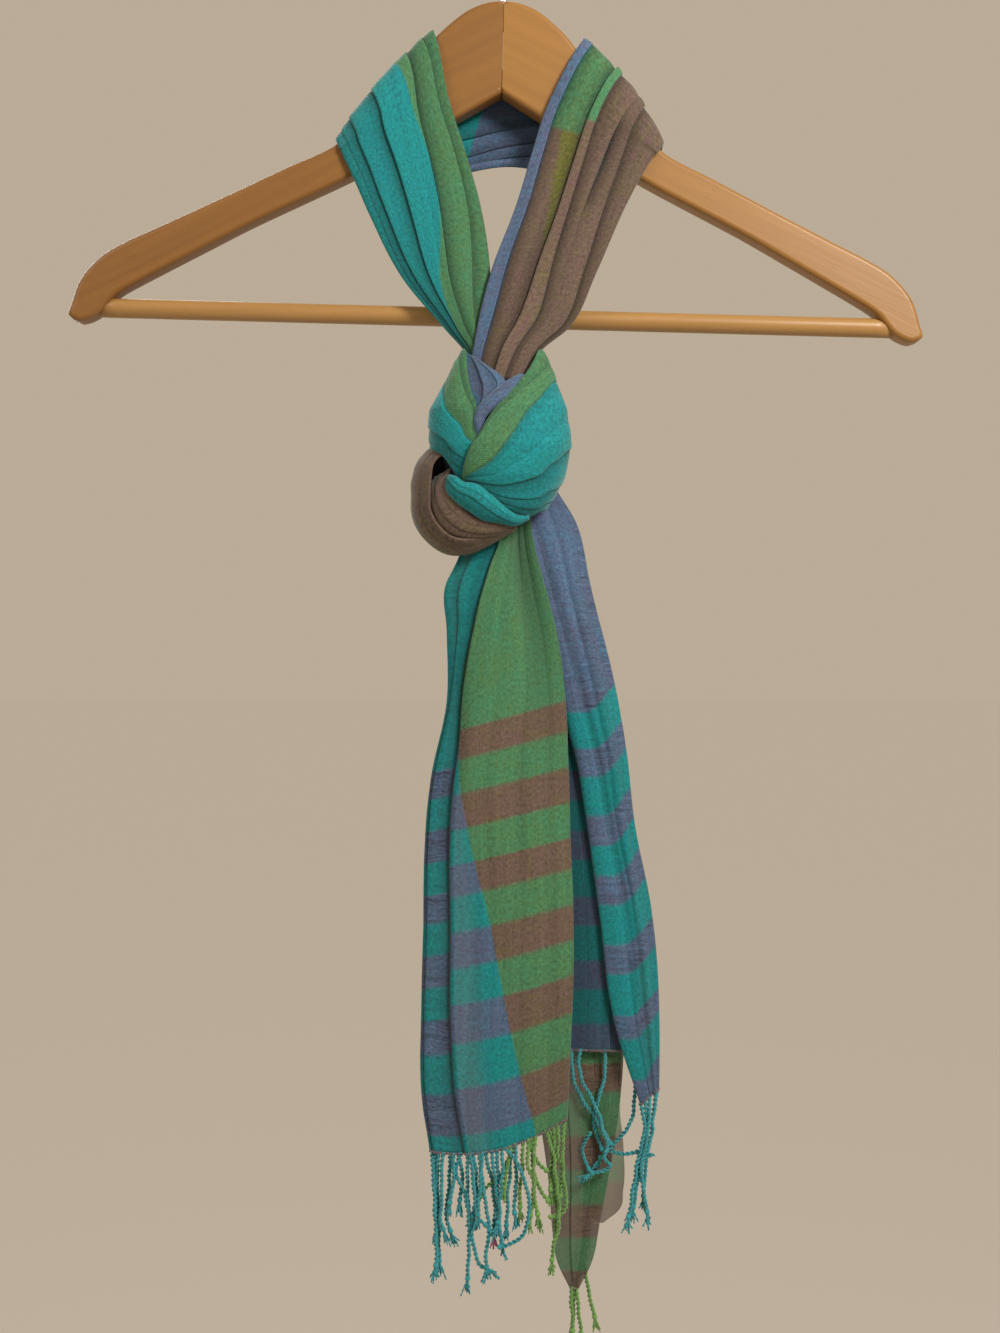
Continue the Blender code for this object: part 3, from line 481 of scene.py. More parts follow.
def shareAt(values, v):  # values spaced evenly from the first row to the last, on a smooth curve
    at = min(v * (len(values) - 1), len(values) - 1.000001)
    k, t = int(at), at - int(at)
    p0, p1, p2, p3 = (values[min(max(j, 0), len(values) - 1)] for j in range(k - 1, k + 3))
    return curveAt(p1, p2, 0.5 * (p2 - p0), 0.5 * (p3 - p1), t)


def zonesAt(piece, v, across, width):  # how sheer and how loose the cloth is across one section
    values = np.zeros((len(across), 2)) + (0.0, clothFinish["loose"])
    for low, high, sheer, loose, fade in piece.get("zones", []):
        inside = np.clip((across - shareAt(low, v)) * width / clothFinish["lowFade"] + 0.5, 0, 1)
        ramp = np.clip((shareAt(high, v) - across) * width / fade + 0.5, 0, 1)
        inside = inside * ramp * ramp * (3 - 2 * ramp)
        values = np.maximum(values, inside[:, None] * (sheer, loose))
    return values


def foldedSection(piece, v, width, counts):
    # shares across, heights and painted shade of one section; a pleat with a higher side laps over its
    # neighbour
    pleats, finish = piece["pleats"], clothFinish
    edges = [shareAt(p[0], v) for p in pleats] + [1.0]
    lap, fold = piece["lap"] / width, piece["edgeFold"] / width
    across, height, shade = [], [], []
    if fold:
        across += [fold, fold * 0.5, 0.0]
        height += finish["under"]
        shade += [0.0] * 3
    for k, pleat in enumerate(pleats):
        left, centre, right = pleat[1:4]
        sunk = 0.0
        if k in piece.get("hollows", {}):
            middle, reach, depth = piece["hollows"][k]
            sunk = depth * math.exp(-((v - middle) / reach) ** 2)
            left -= sunk
        start, end = edges[k], edges[k + 1]
        below = pleats[k - 1][3] - left if k else 0.0
        above = pleats[k + 1][1] - right if k + 1 < len(pleats) else 0.0
        if below > 0:
            start -= min(lap, finish["mostLap"] * (edges[k] - edges[k - 1]))
        if above > 0:
            end += min(lap, finish["mostLap"] * (edges[k + 2] - edges[k + 1]))
        for t in np.linspace(0, 1, counts[k]):
            across.append(start + (end - start) * t)
            height.append(left * (1 - t) * (1 - 2 * t) + centre * 4 * t * (1 - t) + right * t * (2 * t - 1))
            # painted shade: darker where a side sinks in a hollow and next to the edge of a higher pleat
            # that laps over it
            dark = min(1.0, finish["hollowShade"] * sunk) * (1 - t) ** 2
            for step, off in ((below, across[-1] - edges[k]), (above, edges[k + 1] - across[-1])):
                deep = min(1, max(0, step) / finish["fullShade"])
                dark = max(dark, deep * math.exp(-max(0, off) * width / finish["foldShade"]))
            shade.append(dark)
    if fold:
        across += [1.0, 1 - fold * 0.5, 1 - fold]
        height += finish["under"][::-1]
        shade += [0.0] * 3
    across, height, shade = (np.array(row) for row in (across, height, shade))
    for places, reachAcross, middle, reach, depth in piece.get("dents", []):  # steeper on its left
        off = (across - shareAt(places, v)) / reachAcross
        off = np.where(off < 0, finish["steepSide"] * off, off)
        dent = depth * math.exp(-((v - middle) / reach) ** 2) * np.exp(-off ** 2)
        height -= dent
        # painted shade in the valley
        shade = np.maximum(shade, finish["dentShade"] * dent)
    for _ in range(2):  # rounds the folded edges
        for row in (across, height, shade):
            row[1:-1] = 0.25 * row[:-2] + 0.5 * row[1:-1] + 0.25 * row[2:]
    return across, height, shade


def layCloth(piece, step=clothFinish["stepAlong"]):
    # grid of points in millimetres, and where each lies in the weave and the dye, how sheer and how much
    # painted shade darkens it
    table, share, length = smoothRows(piece["rows"], step)
    a, b, crown, relief = table[:, 0:3], table[:, 3:6], table[:, 6], table[:, 7]
    widths = np.linalg.norm(b - a, axis=1)
    outward = np.cross(b - a, np.gradient(0.5 * (a + b), axis=0))
    outward /= np.linalg.norm(outward, axis=1)[:, None]
    shares = np.diff([p[0][1] for p in piece["pleats"]] + [1.0])
    counts = [int(part * widths.max() / clothFinish["stepAcross"]) for part in shares]
    counts = [max(clothFinish["leastPoints"], count) for count in counts]
    columns = np.repeat([p[4] if len(p) > 4 else 1.0 for p in piece["pleats"]], counts)
    if piece["edgeFold"]:
        columns = np.pad(columns, len(clothFinish["under"]), mode="edge")
    grid, weave, dye, zones, foldShadeMap = [], [], [], [], []
    for i in range(len(table)):
        width = max(widths[i], 1.0)
        across, height, shade = foldedSection(piece, share[i], width, counts)
        rise = crown[i] * np.sin(np.pi * np.clip(across, 0, 1)) + relief[i] * height
        line = a[i] + np.outer(across, b[i] - a[i]) + np.outer(rise, outward[i])
        along = share[i] * length
        run = np.linspace(0, 1, len(across)) * widths.max() * clothFinish["slack"]
        weave.append(np.stack([run, np.full(len(run), along)], 1))
        if "hem" in piece:  # the bands keep their height over the hem
            bottom, climb, level = piece["hem"]
            up = np.clip((across - level) / (1 - level), 0, 1)
            bands = (line[:, 2] - bottom - climb * (up if level == 0 else up * up * (2 - up))) * columns
        else:
            bands = along * columns
        *limeFrom, side = piece["dye"]
        dye.append(np.stack([side * (across - shareAt(limeFrom, share[i])) * width, bands], 1))
        zones.append(zonesAt(piece, share[i], across, width))
        foldShadeMap.append(np.stack([shade, np.zeros(len(shade))], 1))
        if "sag" in piece:
            depth, reach = piece["sag"]
            line[:, 2] -= depth * 4 * across * (1 - across) * max(0, 1 - along / reach) ** 1.5
        grid.append(line)
    grid, weave, dye = np.array(grid), np.array(weave), np.array(dye)
    normal = np.cross(np.gradient(grid, axis=1), np.gradient(grid, axis=0))
    normal /= np.linalg.norm(normal, axis=2)[..., None] + 1e-9
    broad, narrow, fine = (rise * noise2(weave[..., 0] / wide, weave[..., 1] / long, piece["seed"] + k)
                           for k, (rise, wide, long) in enumerate(clothFinish["ripples"]))
    calm = np.clip(widths / widths.max(), clothFinish["calmest"], 1)[:, None]
    ripple = piece["ripple"] * calm * (broad + narrow) + fine
    maps = {"weave": weave * mm, "dye": dye * mm, "zones": np.array(zones), "foldShadeMap": np.array(foldShadeMap)}
    return grid + normal * ripple[..., None], maps


def girthAt(z):
    table = np.array(knotShape["girth"][::-1], float)
    return [np.interp(z, table[:, 0], table[:, k]) for k in (1, 2, 3)]


def wrapOnKnot(piece):  # the same, for a stretch given by x, lift and z on the knot
    span, share = knotShape["span"], knotShape["turnShare"]

    def flatEdge(x, lift, z):
        middle, halfWidth, _ = girthAt(z)
        return ((x - middle) / (halfWidth + lift) * span, -lift, z)

    flat = dict(piece, rows=[(*flatEdge(*r[:3]), *flatEdge(*r[3:6]), *r[6:]) for r in piece["rows"]])
    grid, maps = layCloth(flat, clothFinish["stepOnKnot"])
    middle, halfWidth, halfDepth = girthAt(grid[..., 2])
    turn, lift = grid[..., 0] / span, -grid[..., 1]
    past = np.abs(turn) > share
    near = np.arcsin(np.clip(turn, -share, share))
    slope = 1 / math.cos(math.radians(knotShape["turnDegrees"]))
    angle = np.where(past, near + np.sign(turn) * (np.abs(turn) - share) * slope, near)
    return np.stack([middle + (halfWidth + lift) * np.sin(angle),
                     knotShape["axisY"] - (halfDepth + lift) * np.cos(angle), grid[..., 2]], -1), maps


def addObject(name, data):
    thing = bpy.data.objects.new(name, data)
    bpy.context.scene.collection.objects.link(thing)
    return thing


def clothMesh(name, grid, maps):
    rows, columns = grid.shape[:2]
    index = np.arange(rows * columns).reshape(rows, columns)
    quads = np.stack([index[:-1, :-1], index[:-1, 1:], index[1:, 1:], index[1:, :-1]], -1).reshape(-1, 4)
    mesh = bpy.data.meshes.new(name)
    mesh.from_pydata((grid.reshape(-1, 3) * mm).tolist(), [], quads.tolist())
    for label, values in maps.items():
        layer = mesh.uv_layers.new(name=label)
        layer.data.foreach_set("uv", values.reshape(-1, 2)[quads.reshape(-1)].reshape(-1))
    mesh.polygons.foreach_set("use_smooth", [True] * len(mesh.polygons))
    return addObject(name, mesh)


def plainMesh(thing):  # turns what the modifiers make into a plain mesh
    bpy.context.view_layer.update()
    made = bpy.data.meshes.new_from_object(thing.evaluated_get(bpy.context.evaluated_depsgraph_get()))
    made.name = thing.name
    if thing.type == "MESH":
        thing.modifiers.clear()
        thing.data = made
        return thing
    name = thing.name
    bpy.data.objects.remove(thing)
    return addObject(name, made)


# materials

def feed(node, given):  # links each value that is a socket into the node, and sets the others
    for label, value in given.items():
        if isinstance(value, bpy.types.NodeSocket):
            node.id_data.links.new(value, node.inputs[label])
        else:
            node.inputs[label].default_value = value


def newNode(tree, kind, given=None, **settings):
    node = tree.nodes.new(kind)
    for name, value in settings.items():
        setattr(node, name, value)
    feed(node, given or {})
    return node


def maths(operation, *values, clamp=False):
    tree = next(value.id_data for value in values if isinstance(value, bpy.types.NodeSocket))
    given = dict(enumerate(values))
    return newNode(tree, "ShaderNodeMath", given, operation=operation, use_clamp=clamp).outputs[0]


def plus(a, b):
    return maths("ADD", a, b)


def minus(a, b, clamp=False):
    return maths("SUBTRACT", a, b, clamp=clamp)


def times(a, b, clamp=False):
    return maths("MULTIPLY", a, b, clamp=clamp)


def mixNode(factor, a, b):
    return newNode(factor.id_data, "ShaderNodeMix", {0: factor, 6: a, 7: b}, data_type="RGBA").outputs[2]


def noiseNode(place, scale, detail=2.0, roughness=0.5):  # a scale for each direction stretches the noise
    tree = place.id_data
    if isinstance(scale, tuple):
        place = newNode(tree, "ShaderNodeMapping", {"Vector": place, "Scale": scale}).outputs[0]
        scale = 1.0
    given = {"Vector": place, "Scale": scale, "Detail": detail, "Roughness": roughness}
    return newNode(tree, "ShaderNodeTexNoise", given).outputs["Fac"]


def noisesOf(place, kinds):
    return {kind: noiseNode(place, *values) for kind, values in kinds.items()}


def partsOf(vector):
    return newNode(vector.id_data, "ShaderNodeSeparateXYZ", {0: vector}).outputs[:2]


def mapNode(tree, name):
    return newNode(tree, "ShaderNodeUVMap", uv_map=name).outputs[0]


def newGroup(name, inputs):
    group = bpy.data.node_groups.new(name, "ShaderNodeTree")
    for label, kind, value in inputs:
        socket = group.interface.new_socket(label, in_out="INPUT", socket_type="NodeSocket" + kind)
        if value is not None:
            socket.default_value = value
    for label, kind in (("Color", "Color"), ("Height", "Float"), ("Roughness", "Float")):
        group.interface.new_socket(label, in_out="OUTPUT", socket_type="NodeSocket" + kind)
    return group, group.nodes.new("NodeGroupInput").outputs, group.nodes.new("NodeGroupOutput")


weaveLook = {  # how much each of these turns, shades and lifts the threads
    "turn": {"over": 0.22, "yarn": 0.55, "cloud": 0.2},
    # drape: painted light and shade of small drape folds
    "shade": {"crinkle": 0.9, "mottle": 1.6, "drapeShade": 0.5, "lines": 1.3},
    "lift": {"over": 0.35, "slub": 0.4, "lines": 2.5},
    "noise": {  # scale, detail and roughness
        "slub": ((60, 1500, 1), 3.0, 0.6), "streak": ((1300, 40, 1), 3.0, 0.6), "cloud": (55.0, 2.0, 0.5),
        "sway": ((170, 60, 1), 1.0, 0.5), "drapeShade": ((230, 8, 1), 3.0, 0.6), "mottle": (560.0, 3.0, 0.75),
    },
    "crinkle": (820.0, 3.0, 0.7), "crinkleStretch": (1, 0.6, 1), "darker": 0.13,
    "lineAcross": 30.0, "lineAlong": 640.0, "lineSway": 2.4, "lineNoise": (1.0, 2.0, 0.7),
    "threadWidth": 0.0006, "roughness": 0.72, "rougher": 0.2, "bump": (0.8, 0.0003),
}


def makeWeaveGroup():
    # warp crossed by weft: which thread lies on top, uneven yarn, the crinkle of the cloth, and painted
    # shade: soft drape streaks and the fold shade passed in
    group, given, end = newGroup("shotWeave", [
        ("Weave", "Vector", None), ("Lime Warp", "Float", 0.0), ("Pink Weft", "Float", 0.0),
        ("Thread", "Float", weaveLook["threadWidth"]), ("Unevenness", "Float", 0.5),
        ("Warp Cover", "Float", 0.0), ("Fold Shade", "Float", 0.0),
    ])
    turn, shades, lift = weaveLook["turn"], weaveLook["shade"], weaveLook["lift"]
    weave = given["Weave"]
    x, y = partsOf(weave)
    turns = maths("DIVIDE", math.pi, given["Thread"])
    over = times(maths("SINE", times(x, turns)), maths("SINE", times(y, turns)))
    noise = noisesOf(weave, weaveLook["noise"])
    flat = newNode(group, "ShaderNodeMapping", {"Vector": weave, "Scale": weaveLook["crinkleStretch"]})
    crinkle = noiseNode(flat.outputs[0], *weaveLook["crinkle"])
    top = plus(0.5, times(over, turn["over"]))
    top = plus(top, times(minus(noise["slub"], noise["streak"]), turn["yarn"]))
    top = plus(top, times(minus(noise["cloud"], 0.5), turn["cloud"]))
    top = minus(top, given["Warp Cover"], True)
    warp = mixNode(given["Lime Warp"], threads["warpTeal"], threads["warpLime"])
    weft = mixNode(given["Pink Weft"], threads["weftTeal"], threads["weftPink"])
    colour = mixNode(top, warp, weft)
    wavy = newNode(group, "ShaderNodeCombineXYZ")  # wefts that lie loose make wavy dark lines
    sway = times(minus(noise["sway"], 0.5), weaveLook["lineSway"])
    feed(wavy, {0: times(x, weaveLook["lineAcross"]), 1: plus(times(y, weaveLook["lineAlong"]), sway)})
    lines = minus(noiseNode(wavy.outputs[0], *weaveLook["lineNoise"]), 0.5)
    lines = times(lines, given["Unevenness"])
    lines = times(lines, plus(0.5, given["Pink Weft"]))
    shade = minus(times(crinkle, shades["crinkle"]), 0.5 * shades["crinkle"])
    shade = plus(shade, times(noise["mottle"], shades["mottle"]))
    # painted light and shade: soft long streaks along the warp for small drape folds
    shade = plus(shade, times(noise["drapeShade"], shades["drapeShade"]))
    shade = minus(shade, weaveLook["darker"])
    shade = minus(shade, times(lines, shades["lines"]))
    # painted shade from the folds darkens the colour
    shade = times(shade, minus(1.0, given["Fold Shade"]))
    shaded = newNode(group, "ShaderNodeVectorMath", {0: colour, "Scale": shade}, operation="SCALE")
    height = plus(times(over, lift["over"]), crinkle)
    height = plus(height, times(noise["slub"], lift["slub"]))
    height = minus(height, times(lines, lift["lines"]))
    feed(end, {"Color": shaded.outputs[0], "Height": height,
               "Roughness": plus(weaveLook["roughness"], times(crinkle, weaveLook["rougher"]))})
    return group


grainLook = {
    "broad": 0.55, "fine": 0.35, "rings": 0.10, "poreEdge": 0.62, "poreDepth": 0.5, "roughness": 0.34,
    "ringWave": {"Scale": 40.0, "Distortion": 5.0, "Detail": 2.0, "Detail Scale": 1.2},
    "noise": {  # scale, detail and roughness
        "broad": ((5, 60, 60), 3.0, 0.55), "fine": ((22, 700, 700), 3.0, 0.6),
        "pores": ((150, 2200, 2200), 1.0, 0.5),
    },
    "ringStretch": (0.12, 1, 1), "paler": 0.02, "poreSteep": 3.0, "rougher": 0.16,
}


def makeGrainGroup():
    # straight grain with pores, for varnished wood
    group, given, end = newGroup("woodGrain", [
        ("Place", "Vector", None), ("Pale", "Color", (0.5, 0.3, 0.14, 1)),
        ("Dark", "Color", (0.3, 0.15, 0.06, 1)),
    ])
    place = given["Place"]
    broad, fine, pores = noisesOf(place, grainLook["noise"]).values()
    long = newNode(group, "ShaderNodeMapping", {"Vector": place, "Scale": grainLook["ringStretch"]})
    rings = newNode(group, "ShaderNodeTexWave", {"Vector": long.outputs[0], **grainLook["ringWave"]},
                    wave_type="BANDS", bands_direction="Z")
    tone = plus(times(broad, grainLook["broad"]), times(fine, grainLook["fine"]))
    tone = plus(tone, times(rings.outputs["Fac"], grainLook["rings"]))
    tone = minus(tone, grainLook["paler"], True)
    colour = mixNode(tone, given["Pale"], given["Dark"])
    pore = times(minus(pores, grainLook["poreEdge"]), grainLook["poreSteep"], True)
    feed(end, {"Color": mixNode(pore, colour, given["Dark"]),
               "Height": minus(fine, times(pore, grainLook["poreDepth"])),
               "Roughness": plus(grainLook["roughness"], times(fine, grainLook["rougher"]))})
    return group


def newMaterial(name):
    made = bpy.data.materials.new(name)
    made.use_nodes = True
    return made, made.node_tree, made.node_tree.nodes["Principled BSDF"]


def objectPlace(tree):
    return newNode(tree, "ShaderNodeTexCoord").outputs["Object"]


def addBump(shader, height, strength, distance):
    given = {"Strength": strength, "Distance": distance, "Height": height}
    bump = newNode(shader.id_data, "ShaderNodeBump", given)
    feed(shader, {"Normal": bump.outputs["Normal"]})


# the dye's edges and bands, and foldShade: the strength of the painted fold shade
dyeAndShadeLook = {
    "wander": 0.0016, "limeEdge": 800.0, "limeShift": 0.0006, "jitter": 0.0022, "bandEdge": 0.0006,
    "columnEdge": 700.0, "cover": 0.38, "foldShade": 0.62,
}
clothSheen = {
    "Sheen Weight": 0.25, "Sheen Roughness": 0.4, "Sheen Tint": (0.8, 0.95, 0.95, 1),
    "Specular IOR Level": 0.25,
}


def bandRamp(tree, along, piece, length):  # 1 where the weft is pink, with a soft change at each side
    ramp = tree.nodes.new("ShaderNodeValToRGB")
    ramp.color_ramp.interpolation = "LINEAR"
    soft = dyeAndShadeLook["bandEdge"]
    stops = []
    for low, high in piece["pink"]:
        stops += [(low - soft, 0), (low + soft, 1), (high - soft, 1), (high + soft, 0)]
    stops = [(max(0.0, min(1.0, at / length)), value) for at, value in stops if -0.01 < at < length * 1.02]
    first = 1.0 if piece["pink"] and piece["pink"][0][0] < 0 else 0.0
    ramp.color_ramp.elements[0].color = (first,) * 3 + (1,)
    ramp.color_ramp.elements[1].color = ((stops[-1][1] if stops else first),) * 3 + (1,)
    for at, value in stops:
        ramp.color_ramp.elements.new(at).color = (value,) * 3 + (1,)
    feed(ramp, {0: maths("DIVIDE", along, length)})
    return ramp.outputs["Color"]


def clothMaterial(name, piece, length):
    made, tree, shader = newMaterial(name)
    weave, dye, foldShadeMap, zones = (mapNode(tree, label) for label in ("weave", "dye", "foldShadeMap", "zones"))
    side, height = partsOf(dye)
    wander = minus(noiseNode(weave, (160, 9, 1)), 0.5)
    across = plus(side, times(wander, dyeAndShadeLook["wander"]))
    lime = times(plus(across, dyeAndShadeLook["limeShift"]), dyeAndShadeLook["limeEdge"], True)
    jitter = minus(noiseNode(weave, (700, 30, 1)), 0.5)
    pink = bandRamp(tree, plus(height, times(jitter, dyeAndShadeLook["jitter"])), piece, length)
    given = {"Weave": weave, "Lime Warp": lime, "Pink Weft": pink}
    if "stripe" in piece:  # a column where the warp lies closer and hides the weft
        low, high, top, taper = piece["stripe"]
        lowEdge = plus(low * mm, times(minus(top * mm, height), taper))
        inside = times(minus(across, lowEdge), dyeAndShadeLook["columnEdge"], True)
        outside = times(minus(high * mm, across), dyeAndShadeLook["columnEdge"], True)
        pinkPart = plus(times(pink, 0.85), 0.15)
        cover = piece.get("cover", dyeAndShadeLook["cover"])
        given["Warp Cover"] = times(times(times(inside, outside), pinkPart), cover)
    # painted shade from the folds
    given["Fold Shade"] = times(partsOf(foldShadeMap)[0], dyeAndShadeLook["foldShade"])
    # painted shade: a piece that lies in shade is darkened all over
    if "inShade" in piece:
        given["Fold Shade"] = maths("ADD", given["Fold Shade"], piece["inShade"], clamp=True)
    sheer, given["Unevenness"] = partsOf(zones)
    woven = newNode(tree, "ShaderNodeGroup", node_tree=weaveGroup)
    feed(woven, given)
    feed(shader, {"Base Color": woven.outputs["Color"], "Roughness": woven.outputs["Roughness"]})
    feed(shader, clothSheen)
    if "zones" in piece:
        feed(shader, {"Alpha": minus(1.0, sheer)})
    addBump(shader, woven.outputs["Height"], *weaveLook["bump"])
    return made


def yarnMaterial(name, pale, dark):
    made, tree, shader = newMaterial(name)
    place = objectPlace(tree)
    fleck = noiseNode(place, 420.0, 3.0, 0.6)
    fibre = noiseNode(place, (3000, 3000, 900))
    tone = times(minus(fleck, 0.3), 2.2, True)
    feed(shader, {"Base Color": mixNode(tone, pale, dark), "Roughness": 0.8, "Sheen Weight": 0.3})
    addBump(shader, fibre, 0.5, 0.0002)
    return made


def woodMaterial(name, pale, dark, slope):
    made, tree, shader = newMaterial(name)
    turned = newNode(tree, "ShaderNodeMapping", {"Vector": objectPlace(tree)})
    feed(turned, {"Rotation": (0, math.radians(slope), 0)})
    grain = newNode(tree, "ShaderNodeGroup", node_tree=grainGroup)
    feed(grain, {"Place": turned.outputs[0], "Pale": pale, "Dark": dark})
    feed(shader, {"Base Color": grain.outputs["Color"], "Roughness": grain.outputs["Roughness"],
                  "Specular IOR Level": 0.3, "Coat Weight": 0.14, "Coat Roughness": 0.25})
    addBump(shader, grain.outputs["Height"], 0.25, 0.0002)
    return made


def chromeMaterial():
    made, tree, shader = newMaterial("hookChrome")
    smear = noiseNode(objectPlace(tree), 180.0, 3.0)
    colour = mixNode(smear, (0.66, 0.67, 0.69, 1), (0.80, 0.80, 0.81, 1))
    feed(shader, {"Metallic": 1.0, "Base Color": colour, "Roughness": plus(0.2, times(smear, 0.16))})
    return made


weaveGroup = makeWeaveGroup()
grainGroup = makeGrainGroup()
print("materials: shader groups made")


# cloth

def hangSheet(name, piece, nodes, onKnot=False):
    grid, maps = wrapOnKnot(piece) if onKnot else layCloth(piece)
    cloth = clothMesh(name, grid, maps)
    solid = cloth.modifiers.new("Solidify", "SOLIDIFY")
    solid.thickness, solid.offset = clothFinish["thickness"] * mm, 0.0
    cloth = plainMesh(cloth)
    length = float(max(maps["weave"][..., 1].max(), maps["dye"][..., 1].max()))
    cloth.data.materials.clear()
    cloth.data.materials.append(clothMaterial(name + "Cloth", piece, length))
    wide = np.linalg.norm(np.diff(grid, axis=1), axis=2).sum(1).mean() * mm
    tall = np.linalg.norm(np.diff(grid, axis=0), axis=2).sum(0).mean() * mm
    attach(cloth, "root")
    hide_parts(*nodes)
    print(f"{name}: {len(cloth.data.polygons)} faces, {wide * 1000:.0f} by {tall * 1000:.0f} mm flat")
    return grid


hangSheet("collarLeftCloth", collarLeft, ["collar_left"])
hangSheet("collarRightCloth", collarRight, ["collar_right"])
hangSheet("collarBackCloth", collarBack, ["collar_back"])
hangSheet("tuckCloth", knotTuck, ["knot_tuck"], onKnot=True)
hangSheet("twistCloth", knotTwist, ["knot_tuck"], onKnot=True)
hangSheet("wrapLeftCloth", knotWrapLeft, ["knot_wrap_left"], onKnot=True)
hangSheet("wrapRightCloth", knotWrapRight, ["knot_wrap_right"], onKnot=True)
hangSheet("wrapBackCloth", knotWrapBack, ["knot_wrap_back"], onKnot=True)
hangSheet("rollCloth", knotRoll, ["knot_roll"])
hangSheet("bightRimCloth", knotBightRim, ["knot_bight_rim"])
hangSheet("bightFaceCloth", knotBightFace, ["knot_bight_face"])
front = hangSheet("tailFrontCloth", tailFront, ["tail_front"])
right = hangSheet("tailRightCloth", tailRight, ["tail_right"])
inner = hangSheet("tailInnerCloth", tailInner, ["tail_inner"])
back = hangSheet("tailBackCloth", tailBack, ["tail_back"])
hangSheet("tailCornerCloth", tailCorner, ["tail_back"])

print("cloth: all stretches laid")


knotInside = {
    "top": -266.0, "bottom": -332.0, "inset": 1.6, "rings": 18, "sides": 48,
    # dark and pale: near-black colours, far darker than the cloth, painted shade for the shadowed inside
    "dark": (0.03, 0.07, 0.12, 1), "pale": (0.06, 0.07, 0.14, 1),
}


def makeKnotInside():  # the hidden layers in the middle of the knot
    # coloured near black as painted shade for the knot's shadowed inside
    turn = np.linspace(0, 2 * np.pi, knotInside["sides"], endpoint=False)
    rings = []
    for z in np.linspace(knotInside["top"], knotInside["bottom"], knotInside["rings"]):
        middle, halfWidth, halfDepth = girthAt(z)
        halfWidth, halfDepth = halfWidth - knotInside["inset"], halfDepth - knotInside["inset"]
        x, y = middle + halfWidth * np.sin(turn), knotShape["axisY"] - halfDepth * np.cos(turn)
        rings.append(np.stack([x, y, np.full(len(turn), z)], 1))
    inside = solidFrom("knotInside", rings)
    look, tree, shader = newMaterial("insideCloth")
    place = objectPlace(tree)
    colour = mixNode(noiseNode(place, 300.0), knotInside["dark"], knotInside["pale"])
    feed(shader, {"Base Color": colour, "Roughness": 0.85})
    addBump(shader, noiseNode(place, 900.0), 0.5, 0.0003)
    inside.data.materials.append(look)
    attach(inside, "root")
    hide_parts("knot_core")


# fringe

fringeCords = {
    "ply": 0.64, "twist": 1250.0, "step": 0.45, "knot": 1.45, "stagger": 1.1, "above": 0.8, "lean": 1.6,
    "points": 12, "calmPoints": 14, "waver": (0.15, 0.4), "apart": 0.88, "hemPly": 0.42, "hemApart": 0.34,
    "tuft": 8.0, "hair": 0.24, "hairs": 15, "hairSpread": 0.13, "hairCurl": 0.12,
}

